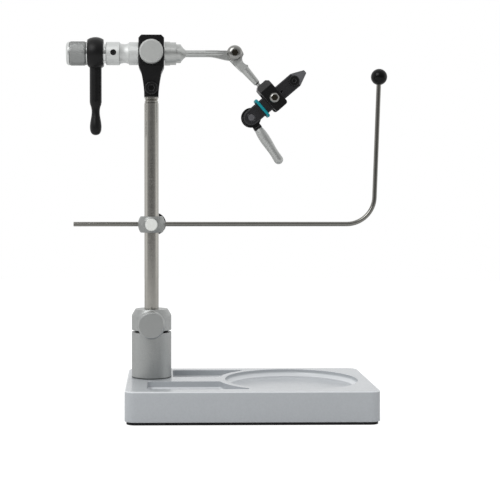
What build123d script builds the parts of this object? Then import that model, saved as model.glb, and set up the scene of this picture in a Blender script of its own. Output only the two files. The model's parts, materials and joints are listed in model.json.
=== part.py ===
"""Rotary fly tying vise on a pedestal base, as an assembly of separate pieces.

Millimetres.  +X runs from the crank to the jaws, +Y away from the tyer, +Z up.
The origin is the middle of the base's rubber pad, on the table.
"""

import os
from math import cos, radians, sin

from build123d import *

os.makedirs("parts", exist_ok=True)

# Base: a heavy plate with a round tray and two pockets, on a rubber pad
base_width = 166.4
base_depth = 104.0
base_height = 20.0
base_corner_radius = 7.0
base_edge_radius = 1.2
pad_height = 2.0
pad_inset = 1.2
tray_front_margin = 6.5
tray_diameter = base_depth - 2 * tray_front_margin
tray_depth = 5.0
tray_wall_radius = 4.0
tray_margin = 7.7
pocket_depth = 5.0
pocket_floor_radius = 1.5
pocket_corner_radius = 2.0
pocket_outer_margin = 10.0
pocket_inner_margin = 9.5
pocket_tray_wall = 4.5
front_pocket_start = 14.5
back_pocket_post_gap = 1.0

# Stem and the post that clamps it
stem_from_left = 17.0
stem_from_back = 40.0
stem_diameter = 10.0
stem_edge = 0.5
stem_bottom_height = 43.0
stem_top_height = 212.5
stem_travel_down = 6.0
post_diameter = 27.6
post_height = 47.5
post_taper_width = 2.5
post_taper_height = 4.3
post_bore_floor_gap = 0.8
post_slot_height = 1.6
post_slot_below_knob = 5.7
post_slot_past_axis = 7.5
post_knob_height = 60.0
post_knob_diameter = 18.6
post_knob_thickness = 8.0
post_stud_diameter = 6.0
post_shoe_length = 3.0
post_bolt_diameter = 8.0
post_bolt_web = 1.2
post_bolt_end_gap = 1.0
post_bolt_head_diameter = 13.0
post_bolt_head_height = 8.0
post_bolt_hex = 6.0

# Swivel joint on top of the stem
spigot_diameter = 7.0
spigot_length = 19.5
spigot_groove_depth = 0.8
swivel_washer_diameter = 9.4
swivel_washer_height = 3.8
swivel_washer_groove = 0.6

# Head casting
head_axis_rise = 30.15
head_width = 17.6
head_depth = 18.0
head_top_rise = 12.0
head_top_chamfer = 2.0
head_block_drop = 9.2
head_neck_drop = 13.3
head_neck_width = 14.0
head_foot_width = 9.9
head_foot_height = 3.0
head_foot_depth = 14.0
head_neck_waist = 0.25
head_edge = 0.7
head_bush_diameter = 12.0
head_bush_length = 6.0
head_screw_rise = 5.6
head_screw_diameter = 5.0
head_screw_head_diameter = 8.7
head_screw_head_height = 4.6
head_screw_hex = 4.0
tension_knob_diameter = 16.2
tension_knob_thickness = 8.0
tension_stud_diameter = 5.0
tension_shoe_length = 1.6

# Rotary spindle, measured from the stem's axis along +X
spindle_diameter = 9.0
sleeve_length = 22.3
sleeve_collar_length = 9.5
sleeve_collar_radius = 8.0
sleeve_neck_length = 6.2
sleeve_neck_radius = 6.5
sleeve_flange_radius = 7.9
sleeve_screw_diameter = 4.0
sleeve_screw_from_end = 5.2
inner_washer_thickness = 1.8
inner_washer_radius = 6.8
crank_hub_width = 11.0
crank_hub_radius = 11.3
crank_hub_crown = 1.6
crank_hub_bottom = 9.6
crank_hub_chamfer = 1.3
crank_bore_diameter = 8.0
crank_bar_diameter = 8.3
crank_bar_end = 33.5
crank_taper_length = 2.0
crank_waist_diameter = 5.6
crank_waist_drop = 41.0
crank_grip_diameter = 8.0
crank_grip_drop = 51.5
crank_tip_drop = 56.4
outer_washer_thickness = 0.7
outer_washer_radius = 7.2
end_knob_length = 13.8
end_knob_radius = 8.35
end_knob_rim_length = 3.6
end_knob_chamfer = 1.3
end_stud_diameter = 6.0
end_stud_length = 10.0
spindle_ring_radius = 8.2
spindle_second_ring_radius = 7.8
spindle_third_ring_radius = 6.5
spindle_ring_length = 3.9
spindle_second_ring_length = 4.2
spindle_third_ring_length = 3.1
spindle_cone_length = 3.6
spindle_rod_diameter = 4.8
knuckle_offset = 57.5
knuckle_radius = 5.0
knuckle_flare_length = 20.0
knuckle_rod_gap = 1.2
knuckle_rod_taper = 5.0
tang_thickness = 4.0

# Arm from the knuckle down to the jaw holder
arm_angle = 48.6
arm_length = 41.2
arm_offset = 1.7
arm_cheek_thickness = 2.6
arm_eye_radius = 5.4
arm_slot_end_gap = 2.0
arm_fork_length = 13.0
arm_shoulder_diameter = 6.0
arm_shoulder_lap = 1.0
arm_scallop_radius = 4.2
arm_scallop_from_pivot = 9.0
arm_scallop_waist = 5.7
arm_rod_diameter = 4.4
arm_rod_end_edge = 0.8
arm_neck_diameter = 2.8
arm_neck_gap = 1.6
pivot_screw_diameter = 4.0
pivot_screw_head_diameter = 10.6
pivot_screw_head_height = 3.2
pivot_screw_hex = 4.0

# Jaw holder: a clevis that straddles the jaws
holder_width = 10.4
holder_above_screw = 13.3
holder_below_screw = 8.5
holder_top_chamfer = 1.8
holder_corner_radius = 2.0
holder_cheek_thickness = 2.4
holder_crown_height = 5.3
holder_crown_slope_length = 4.6
holder_crown_slope_depth = 1.8
holder_socket_depth = 4.0
holder_screw_diameter = 4.0
holder_screw_head_diameter = 7.2
holder_screw_head_height = 2.2
holder_screw_hex = 4.0

# Jaws: two bars closed by a cam lever at their rear end
jaw_angle = 40.5
jaw_width = 10.7
jaw_thickness = 4.0
jaw_gap = 1.0
jaw_rear_length = 20.6
jaw_front_length = 28.6
jaw_nose_length = 9.2
jaw_tip_width = 2.6
jaw_tip_thickness = 1.5
jaw_edge = 0.6
jaw_hole_offset = 6.8
jaw_hole_diameter = 1.8
nose_screw_offset = 18.2
nose_screw_diameter = 3.0
nose_screw_head_diameter = 7.4
nose_screw_head_height = 2.4
nose_screw_proud = 1.0
nose_screw_hex = 2.5
ring_wire_diameter = 2.0
ring_offset = 10.7
ring_corner_radius = 2.6
cam_pin_diameter = 5.2
cam_disc_radius = 6.9
cam_disc_thickness = 2.4
cam_land_height = 0.2
cam_land_length = 6.5
lever_angle = -56.4
lever_neck_width = 5.6
lever_neck_thickness = 5.0
lever_neck_start = 7.6
lever_handle_start = 9.4
lever_handle_length = 28.6
lever_handle_start_radius = 2.8
lever_handle_belly_radius = 3.6
lever_handle_belly_place = 10.0
lever_handle_waist_place = 20.0
lever_handle_waist_radius = 3.0
lever_handle_end_radius = 3.2
lever_stub_diameter = 3.6
lever_stub_length = 10.0

# Material rest: a bent rod on a clamp that slides on the stem
rest_height = 128.2
rest_block_radius = 9.4
rest_block_height = 11.2
rest_block_end_radius = 7.6
rest_bush_wall = 1.0
rest_bush_recess = 0.3
rest_bush_slit = 1.0
rest_boss_diameter = 10.0
rest_boss_side = 2.2
rest_boss_length = 5.0
rest_rod_wall = 0.8
rest_plug_diameter = 8.4
rest_plug_proud = 2.2
rest_plug_depth = 1.6
rest_knob_diameter = 15.8
rest_knob_thickness = 7.0
rest_stud_diameter = 5.0
rest_rod_diameter = 3.2
rest_rod_left = 54.7
rest_rod_right = 156.2
rest_rod_bend = 19.5
rest_ball_radius = 5.7
rest_ball_reach = 159.7
rest_ball_rise = 103.3
rest_rod_in_ball = 4.0

# Fits and edges
running_clearance = 0.05
face_clearance = 0.2
knob_clearance = 0.3
rocking_clearance = 0.3
screw_edge = 0.4
knob_edge = 0.9

# Shape of a button head: its shoulder and its flat top as shares of its radius and height
button_rim_rise = 0.25
button_shoulder_reach = 0.75
button_shoulder_rise = 0.8
button_flat_reach = 0.4

# Heights
base_bottom = pad_height
base_top = base_bottom + base_height
post_top = base_top + post_height
bore_floor = stem_bottom_height - stem_travel_down - post_bore_floor_gap
bolt_top = bore_floor - post_bolt_web - post_bolt_end_gap
head_bottom = stem_top_height + swivel_washer_height + running_clearance
rotary_height = head_bottom + head_axis_rise
head_screw_height = head_bottom + head_screw_rise

# Places of the stem, the tray, the knuckle and the jaws
stem_x = stem_from_left - base_width / 2
stem_y = base_depth / 2 - stem_from_back
tray_x = base_width / 2 - tray_margin - tray_diameter / 2
jaw_half = jaw_gap / 2 + jaw_thickness

X_DIR = Vector(1, 0, 0)
Y_DIR = Vector(0, 1, 0)
Z_DIR = Vector(0, 0, 1)
arm_direction = Vector(cos(radians(arm_angle)), 0, -sin(radians(arm_angle)))
arm_side = Vector(sin(radians(arm_angle)), 0, cos(radians(arm_angle)))
jaw_direction = Vector(cos(radians(jaw_angle)), 0, sin(radians(jaw_angle)))
lever_direction = Vector(cos(radians(lever_angle)), 0, sin(radians(lever_angle)))
spindle_origin = Vector(stem_x, stem_y, rotary_height)
knuckle = spindle_origin + X_DIR * knuckle_offset
holder_origin = knuckle + arm_direction * arm_length
cam_origin = holder_origin - jaw_direction * jaw_rear_length
rest_origin = Vector(stem_x, stem_y, rest_height)


def front_plane(origin, direction=X_DIR):
    """Upright plane through a point: local x runs along direction, the normal faces the tyer."""
    return Plane(origin=origin, x_dir=direction, z_dir=-Y_DIR)


def level_plane(origin):
    """Level plane through a point: local x is X and local y is Y."""
    return Plane(origin=origin, x_dir=X_DIR, z_dir=Z_DIR)


def across_plane(origin, direction):
    """Plane square to a direction in the XZ plane: local x is Y."""
    return Plane(origin=origin, x_dir=Y_DIR, z_dir=direction)


def hex_circumradius(across_flats):
    """Radius of the circle through a hexagon's corners."""
    return across_flats / 2 / cos(radians(30))


# Base plate
pocket_arc_radius = tray_diameter / 2 + pocket_tray_wall
pocket_width = base_depth / 2 - pocket_outer_margin - pocket_inner_margin
pocket_middle = pocket_inner_margin + pocket_width / 2
front_pocket_left = front_pocket_start - base_width / 2
back_pocket_left = stem_x + post_diameter / 2 + back_pocket_post_gap
bolt_head_recess = post_bolt_head_height + face_clearance
with BuildPart() as base_plate:
    with BuildSketch(Plane.XY.offset(base_bottom)):
        RectangleRounded(base_width, base_depth, base_corner_radius)
    extrude(amount=base_height)
    fillet(base_plate.faces().sort_by(Axis.Z)[-1].edges(), base_edge_radius)
    with BuildSketch(Plane.XY.offset(base_top)):
        with Locations((tray_x, 0)):
            Circle(tray_diameter / 2)
    extrude(amount=-tray_depth, mode=Mode.SUBTRACT)
    tray_floor = base_plate.faces(Select.LAST).sort_by(Axis.Z)[0]
    fillet(tray_floor.edges(), min(tray_wall_radius, tray_depth - face_clearance))
    pocket_places = ((front_pocket_left, -pocket_middle), (back_pocket_left, pocket_middle))
    for pocket_left, pocket_y in pocket_places:
        with BuildSketch(Plane.XY.offset(base_top)):
            with Locations(((pocket_left + tray_x) / 2, pocket_y)):
                Rectangle(tray_x - pocket_left, pocket_width)
            with Locations((tray_x, 0)):
                Circle(pocket_arc_radius, mode=Mode.SUBTRACT)
            fillet(vertices(), pocket_corner_radius)
        extrude(amount=-pocket_depth, mode=Mode.SUBTRACT)
        pocket_floor = base_plate.faces(Select.LAST).sort_by(Axis.Z)[0]
        fillet(pocket_floor.edges(), pocket_floor_radius)
    with Locations(Plane(origin=(stem_x, stem_y, base_bottom), x_dir=X_DIR, z_dir=-Z_DIR)):
        CounterBoreHole(
            radius=post_bolt_diameter / 2 + running_clearance,
            counter_bore_radius=post_bolt_head_diameter / 2 + face_clearance,
            counter_bore_depth=bolt_head_recess,
            depth=base_height,
        )

# Rubber pad under the plate
with BuildPart() as base_pad:
    with BuildSketch():
        RectangleRounded(
            base_width - 2 * pad_inset,
            base_depth - 2 * pad_inset,
            base_corner_radius - pad_inset,
        )
    extrude(amount=pad_height)

# Stem post: round, tapered at the top, bored for the stem and slit below the clamp knob
post_radius = post_diameter / 2
stem_bore_radius = stem_diameter / 2 + running_clearance
post_slot_bottom = post_knob_height - post_slot_below_knob - post_slot_height / 2
with BuildPart() as stem_post:
    with BuildSketch(front_plane((stem_x, stem_y, 0))):
        with BuildLine():
            Polyline(
                (0, base_top),
                (post_radius, base_top),
                (post_radius, post_top - post_taper_height),
                (post_radius - post_taper_width, post_top),
                (0, post_top),
                close=True,
            )
        make_face()
    revolve(axis=Axis((stem_x, stem_y, 0), Z_DIR))
    with BuildSketch(Plane.XY.offset(post_top)):
        with Locations((stem_x, stem_y)):
            Circle(stem_bore_radius)
    extrude(amount=bore_floor - post_top, mode=Mode.SUBTRACT)
    with BuildSketch(Plane.XY.offset(base_top)):
        with Locations((stem_x, stem_y)):
            Circle(post_bolt_diameter / 2 + running_clearance)
    extrude(amount=bolt_top + post_bolt_end_gap - base_top, mode=Mode.SUBTRACT)
    with BuildSketch(Plane.XY.offset(post_slot_bottom)):
        with Locations((stem_x, stem_y + (post_slot_past_axis - post_diameter) / 2)):
            Rectangle(2 * post_diameter, post_diameter + post_slot_past_axis)
    extrude(amount=post_slot_height, mode=Mode.SUBTRACT)
    with BuildSketch(front_plane((stem_x, stem_y, post_knob_height))):
        Circle(post_stud_diameter / 2 + running_clearance)
    extrude(amount=post_diameter, mode=Mode.SUBTRACT)

# Socket screw that holds the post down from below
with BuildPart() as post_bolt:
    with BuildSketch(Plane.XY.offset(base_bottom + face_clearance)):
        with Locations((stem_x, stem_y)):
            Circle(post_bolt_head_diameter / 2)
    extrude(amount=post_bolt_head_height)
    with BuildSketch(Plane.XY.offset(base_bottom + face_clearance)):
        with Locations((stem_x, stem_y)):
            Circle(post_bolt_diameter / 2)
    extrude(amount=bolt_top - base_bottom - face_clearance)
    with BuildSketch(Plane.XY.offset(base_bottom + face_clearance)):
        with Locations((stem_x, stem_y)):
            RegularPolygon(hex_circumradius(post_bolt_hex), 6)
    extrude(amount=post_bolt_head_height / 2, mode=Mode.SUBTRACT)


def clamp_knob(origin, radius, thickness, stud_radius, seat, stud_end, toward):
    """Round clamp knob with its stud along Y, turned about a line through origin.

    Along that line seat is the knob's inner face and stud_end the stud's tip; toward is +1 or -1,
    the way that the knob's outer face looks.
    """
    face = seat + toward * thickness
    edge = toward * knob_edge
    with BuildPart() as knob:
        with BuildSketch(level_plane(origin)):
            with BuildLine():
                Polyline(
                    (0, stud_end),
                    (stud_radius, stud_end),
                    (stud_radius, seat),
                    (radius - knob_edge, seat),
                    (radius, seat + edge),
                    (radius, face - edge),
                    (radius - knob_edge, face),
                    (0, face),
                    close=True,
                )
            make_face()
        revolve(axis=Axis(origin, Y_DIR))
    return knob


# Clamp knob on the post, with the brass shoe that its stud presses on the stem
post_shoe_face = -(stem_bore_radius + post_shoe_length)
post_knob_origin = Vector(stem_x, stem_y, post_knob_height)
post_clamp_knob = clamp_knob(
    post_knob_origin,
    post_knob_diameter / 2,
    post_knob_thickness,
    post_stud_diameter / 2,
    seat=-(post_radius + knob_clearance),
    stud_end=post_shoe_face - running_clearance,
    toward=-1,
)

with BuildPart() as post_clamp_shoe:
    with BuildSketch(front_plane(post_knob_origin - Y_DIR * stem_bore_radius)):
        Circle(post_stud_diameter / 2)
    extrude(amount=post_shoe_length)

# Stem with the grooved spigot that carries the head
stem_radius = stem_diameter / 2
spigot_radius = spigot_diameter / 2
spigot_top = head_bottom + spigot_length
groove_half = head_screw_diameter / 2 + knob_clearance
with BuildPart() as stem:
    with BuildSketch(front_plane((stem_x, stem_y, 0))):
        with BuildLine():
            Polyline(
                (0, stem_bottom_height),
                (stem_radius - stem_edge, stem_bottom_height),
                (stem_radius, stem_bottom_height + stem_edge),
                (stem_radius, stem_top_height - stem_edge),
                (stem_radius - stem_edge, stem_top_height),
                (spigot_radius, stem_top_height),
                (spigot_radius, head_screw_height - groove_half),
                (spigot_radius - spigot_groove_depth, head_screw_height - groove_half),
                (spigot_radius - spigot_groove_depth, head_screw_height + groove_half),
                (spigot_radius, head_screw_height + groove_half),
                (spigot_radius, spigot_top - stem_edge),
                (spigot_radius - stem_edge, spigot_top),
                (0, spigot_top),
                close=True,
            )
        make_face()
    revolve(axis=Axis((stem_x, stem_y, 0), Z_DIR))

# Grooved washer between the stem and the head
washer_radius = swivel_washer_diameter / 2
washer_middle = stem_top_height + swivel_washer_height / 2
with BuildPart() as swivel_washer:
    with BuildSketch(front_plane((stem_x, stem_y, 0))):
        with BuildLine():
            Polyline(
                (spigot_radius + running_clearance, stem_top_height),
                (washer_radius, stem_top_height),
                (washer_radius, washer_middle - swivel_washer_groove),
                (washer_radius - swivel_washer_groove, washer_middle),
                (washer_radius, washer_middle + swivel_washer_groove),
                (washer_radius, stem_top_height + swivel_washer_height),
                (spigot_radius + running_clearance, stem_top_height + swivel_washer_height),
                close=True,
            )
        make_face()
    revolve(axis=Axis((stem_x, stem_y, 0), Z_DIR))

# Head casting: a block on a tapered neck, bored across for the spindle
block_bottom = rotary_height - head_block_drop
neck_top = rotary_height - head_neck_drop
foot_top = head_bottom + head_foot_height
head_top = rotary_height + head_top_rise
head_half = head_width / 2
neck_half = head_neck_width / 2
foot_half = head_foot_width / 2
bush_inner_face = head_half - head_bush_length
with BuildPart() as head_housing:
    with BuildSketch(front_plane((stem_x, stem_y, 0))):
        with BuildLine():
            right_side = Polyline(
                (0, head_top),
                (head_half - head_top_chamfer, head_top),
                (head_half, head_top - head_top_chamfer),
                (head_half, block_bottom),
                (neck_half, neck_top),
            )
            neck_curve = ThreePointArc(
                right_side @ 1,
                ((neck_half + foot_half) / 2 - head_neck_waist, (neck_top + foot_top) / 2),
                (foot_half, foot_top),
            )
            Polyline(neck_curve @ 1, (foot_half, head_bottom), (0, head_bottom), (0, head_top))
        make_face()
        mirror(about=Plane.YZ)
    extrude(amount=head_depth / 2, both=True)
    with BuildSketch(Plane(origin=(stem_x, stem_y, 0), x_dir=Y_DIR, z_dir=X_DIR)):
        with BuildLine():
            Polyline(
                (-head_depth / 2, head_top),
                (-head_depth / 2, block_bottom),
                (-head_foot_depth / 2, foot_top),
                (-head_foot_depth / 2, head_bottom),
                (head_foot_depth / 2, head_bottom),
                (head_foot_depth / 2, foot_top),
                (head_depth / 2, block_bottom),
                (head_depth / 2, head_top),
                close=True,
            )
        make_face()
    extrude(amount=head_width, both=True, mode=Mode.INTERSECT)
    upright_edges = head_housing.edges().filter_by(Axis.Z)
    chamfer(upright_edges.filter_by_position(Axis.Z, block_bottom, head_top), head_edge)
    with BuildSketch(across_plane(spindle_origin, X_DIR)):
        Circle(spindle_diameter / 2 + face_clearance)
    extrude(amount=head_width, both=True, mode=Mode.SUBTRACT)
    for side in (-1, 1):
        with BuildSketch(across_plane(spindle_origin + X_DIR * side * bush_inner_face, X_DIR * side)):
            Circle(head_bush_diameter / 2 + running_clearance)
        extrude(amount=head_width, mode=Mode.SUBTRACT)
    with BuildSketch(front_plane(spindle_origin)):
        Circle(tension_stud_diameter / 2 + running_clearance)
    extrude(amount=head_depth, mode=Mode.SUBTRACT)
    with BuildSketch(Plane.XY.offset(head_bottom)):
        with Locations((stem_x, stem_y)):
            Circle(spigot_radius + running_clearance)
    extrude(amount=spigot_length + knob_clearance, mode=Mode.SUBTRACT)
    with BuildSketch(front_plane((stem_x, stem_y, head_screw_height))):
        Circle(head_screw_diameter / 2 + running_clearance)
    extrude(amount=head_depth, mode=Mode.SUBTRACT)
    with BuildSketch(front_plane((stem_x, stem_y - head_foot_depth / 2, head_screw_height))):
        Circle(head_screw_head_diameter / 2 + face_clearance)
    extrude(amount=head_depth, mode=Mode.SUBTRACT)


def spindle_bush(side):
    """Plain bush in one side of the head: side is -1 for the crank's side, +1 for the jaws' side."""
    with BuildPart() as bush:
        with BuildSketch(across_plane(spindle_origin + X_DIR * side * bush_inner_face, X_DIR * side)):
            Circle(head_bush_diameter / 2)
            Circle(spindle_diameter / 2 + running_clearance, mode=Mode.SUBTRACT)
        extrude(amount=head_bush_length)
    return bush


crank_side_bush = spindle_bush(-1)
jaw_side_bush = spindle_bush(1)

# Socket screw in the neck; its tip runs in the spigot's groove
head_screw_seat = head_foot_depth / 2
head_screw_tip = spigot_radius - spigot_groove_depth + running_clearance
head_screw_origin = Vector(stem_x, stem_y, head_screw_height)
with BuildPart() as head_screw:
    with BuildSketch(front_plane(head_screw_origin - Y_DIR * head_screw_tip)):
        Circle(head_screw_diameter / 2)
    extrude(amount=head_screw_seat - head_screw_tip)
    with BuildSketch(front_plane(head_screw_origin - Y_DIR * head_screw_seat)):
        Circle(head_screw_head_diameter / 2)
    extrude(amount=head_screw_head_height)
    chamfer(head_screw.edges().sort_by(Axis.Y)[0], screw_edge)
    with BuildSketch(front_plane(head_screw_origin - Y_DIR * (head_screw_seat + head_screw_head_height))):
        RegularPolygon(hex_circumradius(head_screw_hex), 6)
    extrude(amount=-head_screw_head_height / 2, mode=Mode.SUBTRACT)

# Tension knob and the nylon shoe that it presses on the spindle
tension_shoe_face = spindle_diameter / 2 + running_clearance + tension_shoe_length
tension_knob = clamp_knob(
    spindle_origin,
    tension_knob_diameter / 2,
    tension_knob_thickness,
    tension_stud_diameter / 2,
    seat=-(head_depth / 2 + knob_clearance),
    stud_end=-(tension_shoe_face + running_clearance),
    toward=-1,
)

with BuildPart() as tension_shoe:
    with BuildSketch(front_plane(spindle_origin)):
        Circle(tension_stud_diameter / 2)
    extrude(amount=tension_shoe_face)
    with BuildSketch(across_plane(spindle_origin, X_DIR)):
        Circle(spindle_diameter / 2 + running_clearance)
    extrude(amount=tension_stud_diameter, both=True, mode=Mode.SUBTRACT)

# Places along the spindle, from the stem's axis
sleeve_right = -(head_half + face_clearance)
sleeve_left = sleeve_right - sleeve_length
crank_right = sleeve_left - inner_washer_thickness
crank_left = crank_right - crank_hub_width
knob_right = crank_left - outer_washer_thickness
knob_left = knob_right - end_knob_length
ring_left = head_half + face_clearance
second_ring_left = ring_left + spindle_ring_length
third_ring_left = second_ring_left + spindle_second_ring_length
cone_left = third_ring_left + spindle_third_ring_length
rod_left = cone_left + spindle_cone_length
flare_left = knuckle_offset - knuckle_flare_length
rod_right = knuckle_offset - arm_eye_radius - knuckle_rod_gap
spindle_radius = spindle_diameter / 2
spindle_rod_radius = spindle_rod_diameter / 2
crank_bore_radius = crank_bore_diameter / 2
end_stud_radius = end_stud_diameter / 2

# Rotary spindle: stepped and ringed by turning, with a flat tang at the knuckle
with BuildPart() as rotary_spindle:
    with BuildSketch(front_plane(spindle_origin)):
        with BuildLine():
            turned = Polyline(
                (knob_right - end_stud_length, 0),
                (knob_right - end_stud_length, end_stud_radius),
                (knob_right, end_stud_radius),
                (knob_right, crank_bore_radius),
                (sleeve_left, crank_bore_radius),
                (sleeve_left, spindle_radius),
                (ring_left, spindle_radius),
                (ring_left, spindle_ring_radius),
                (second_ring_left, spindle_ring_radius),
                (second_ring_left, spindle_second_ring_radius),
                (third_ring_left, spindle_second_ring_radius),
                (third_ring_left, spindle_third_ring_radius),
                (cone_left, spindle_third_ring_radius),
            )
            cone = TangentArc(turned @ 1, (rod_left, spindle_rod_radius), tangent=(1, -2))
            Polyline(
                cone @ 1,
                (rod_right - knuckle_rod_taper, spindle_rod_radius),
                (rod_right, tang_thickness / 2),
                (rod_right, 0),
                turned @ 0,
            )
        make_face()
    revolve(axis=Axis(spindle_origin, X_DIR))
    with BuildSketch(front_plane(spindle_origin)):
        with BuildLine():
            tang_side = Polyline(
                (flare_left, -tang_thickness / 2),
                (flare_left, tang_thickness / 2),
                (knuckle_offset, tang_thickness / 2),
                (knuckle_offset, -knuckle_radius),
            )
            Spline(tang_side @ 1, tang_side @ 0, tangents=((-1, 0), (-1, 0)))
        make_face()
        with Locations((knuckle_offset, 0)):
            Circle(knuckle_radius)
    extrude(amount=tang_thickness / 2, both=True)
    with BuildSketch(front_plane(knuckle)):
        Circle(pivot_screw_diameter / 2 + running_clearance)
    extrude(amount=tang_thickness, both=True, mode=Mode.SUBTRACT)

# Sleeve between the head and the crank: a collar, a hollow neck and a flange
collar_right = sleeve_left + sleeve_collar_length
neck_right = collar_right + sleeve_neck_length
sleeve_bore_radius = spindle_radius + running_clearance
sleeve_screw_origin = spindle_origin + X_DIR * (sleeve_left + sleeve_screw_from_end)
with BuildPart() as drive_sleeve:
    with BuildSketch(front_plane(spindle_origin)):
        with BuildLine():
            collar = Polyline(
                (sleeve_left, sleeve_bore_radius),
                (sleeve_left, sleeve_collar_radius - screw_edge),
                (sleeve_left + screw_edge, sleeve_collar_radius),
                (collar_right - screw_edge, sleeve_collar_radius),
                (collar_right, sleeve_collar_radius - screw_edge),
                (collar_right, (sleeve_collar_radius + sleeve_neck_radius) / 2),
            )
            hollow = ThreePointArc(
                collar @ 1,
                ((collar_right + neck_right) / 2, sleeve_neck_radius),
                (neck_right, (sleeve_flange_radius + sleeve_neck_radius) / 2),
            )
            Polyline(
                hollow @ 1,
                (neck_right, sleeve_flange_radius - screw_edge),
                (neck_right + screw_edge, sleeve_flange_radius),
                (sleeve_right, sleeve_flange_radius),
                (sleeve_right, sleeve_bore_radius),
                collar @ 0,
            )
        make_face()
    revolve(axis=Axis(spindle_origin, X_DIR))
    with BuildSketch(front_plane(sleeve_screw_origin)):
        Circle(sleeve_screw_diameter / 2 + running_clearance)
    extrude(amount=2 * sleeve_collar_radius, mode=Mode.SUBTRACT)

# Set screw that locks the sleeve to the spindle, sunk below the collar's surface
sleeve_screw_length = sleeve_collar_radius - 2 * screw_edge - sleeve_bore_radius
with BuildPart() as sleeve_set_screw:
    with BuildSketch(front_plane(sleeve_screw_origin - Y_DIR * sleeve_bore_radius)):
        Circle(sleeve_screw_diameter / 2)
    extrude(amount=sleeve_screw_length)
    with BuildSketch(front_plane(sleeve_screw_origin - Y_DIR * (sleeve_bore_radius + sleeve_screw_length))):
        RegularPolygon(hex_circumradius(sleeve_screw_diameter / 2), 6)
    extrude(amount=-sleeve_screw_length / 2, mode=Mode.SUBTRACT)


def spindle_washer(right_face, thickness, radius):
    """Flat washer on the crank's seat of the spindle, to the left of right_face."""
    with BuildPart() as washer:
        with BuildSketch(across_plane(spindle_origin + X_DIR * right_face, -X_DIR)):
            Circle(radius)
            Circle(crank_bore_radius + running_clearance, mode=Mode.SUBTRACT)
        extrude(amount=thickness)
    return washer


inner_washer = spindle_washer(sleeve_left, inner_washer_thickness, inner_washer_radius)
outer_washer = spindle_washer(crank_left, outer_washer_thickness, outer_washer_radius)

# Crank: a crowned hub with a turned hanging grip
crank_middle = (crank_left + crank_right) / 2
crank_origin = spindle_origin + X_DIR * crank_middle
crank_half = crank_hub_width / 2
bar_radius = crank_bar_diameter / 2
bar_root = crank_hub_bottom - crank_hub_chamfer
with BuildPart() as crank:
    with BuildSketch(front_plane(crank_origin)):
        with BuildLine():
            crown = ThreePointArc(
                (-crank_half, crank_hub_radius - crank_hub_crown),
                (0, crank_hub_radius),
                (crank_half, crank_hub_radius - crank_hub_crown),
            )
            Polyline(crown @ 1, (crank_half, 0), (-crank_half, 0), crown @ 0)
        make_face()
    revolve(axis=Axis(crank_origin, X_DIR))
    with BuildSketch(front_plane(crank_origin)):
        with Locations((0, -2 * crank_hub_bottom)):
            Rectangle(2 * crank_hub_width, 2 * crank_hub_bottom)
    extrude(amount=2 * crank_hub_radius, both=True, mode=Mode.SUBTRACT)
    hub_floor = crank.faces().sort_by(Axis.Z)[0]
    chamfer(hub_floor.edges().filter_by(Axis.Y), crank_hub_chamfer)
    with BuildSketch(front_plane(crank_origin)):
        with BuildLine():
            bar = Polyline(
                (0, -bar_root),
                (bar_radius, -bar_root),
                (bar_radius, -crank_bar_end),
                (bar_radius - screw_edge, -crank_bar_end - crank_taper_length),
            )
            grip = Spline(
                bar @ 1,
                (crank_waist_diameter / 2, -crank_waist_drop),
                (crank_grip_diameter / 2, -crank_grip_drop),
                (0, -crank_tip_drop),
                tangents=((-1, -2), (-1, 0)),
            )
            Line(grip @ 1, bar @ 0)
        make_face()
    revolve(axis=Axis(crank_origin, Z_DIR))
    with BuildSketch(across_plane(crank_origin, X_DIR)):
        Circle(crank_bore_radius + running_clearance)
    extrude(amount=crank_hub_width, both=True, mode=Mode.SUBTRACT)

# Knurled end knob, a blind nut that clamps the crank on the spindle
rim_right = knob_left + end_knob_rim_length
with BuildPart() as end_knob:
    with BuildSketch(front_plane(spindle_origin)):
        with BuildLine():
            Polyline(
                (knob_left, 0),
                (knob_left, end_knob_radius - end_knob_chamfer),
                (knob_left + end_knob_chamfer, end_knob_radius - screw_edge),
                (rim_right, end_knob_radius - screw_edge),
                (rim_right, end_knob_radius),
                (knob_right - screw_edge, end_knob_radius),
                (knob_right, end_knob_radius - screw_edge),
                (knob_right, end_stud_radius + running_clearance),
                (knob_right - end_stud_length - knob_clearance, end_stud_radius + running_clearance),
                (knob_right - end_stud_length - knob_clearance, 0),
                close=True,
            )
        make_face()
    revolve(axis=Axis(spindle_origin, X_DIR))

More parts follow.
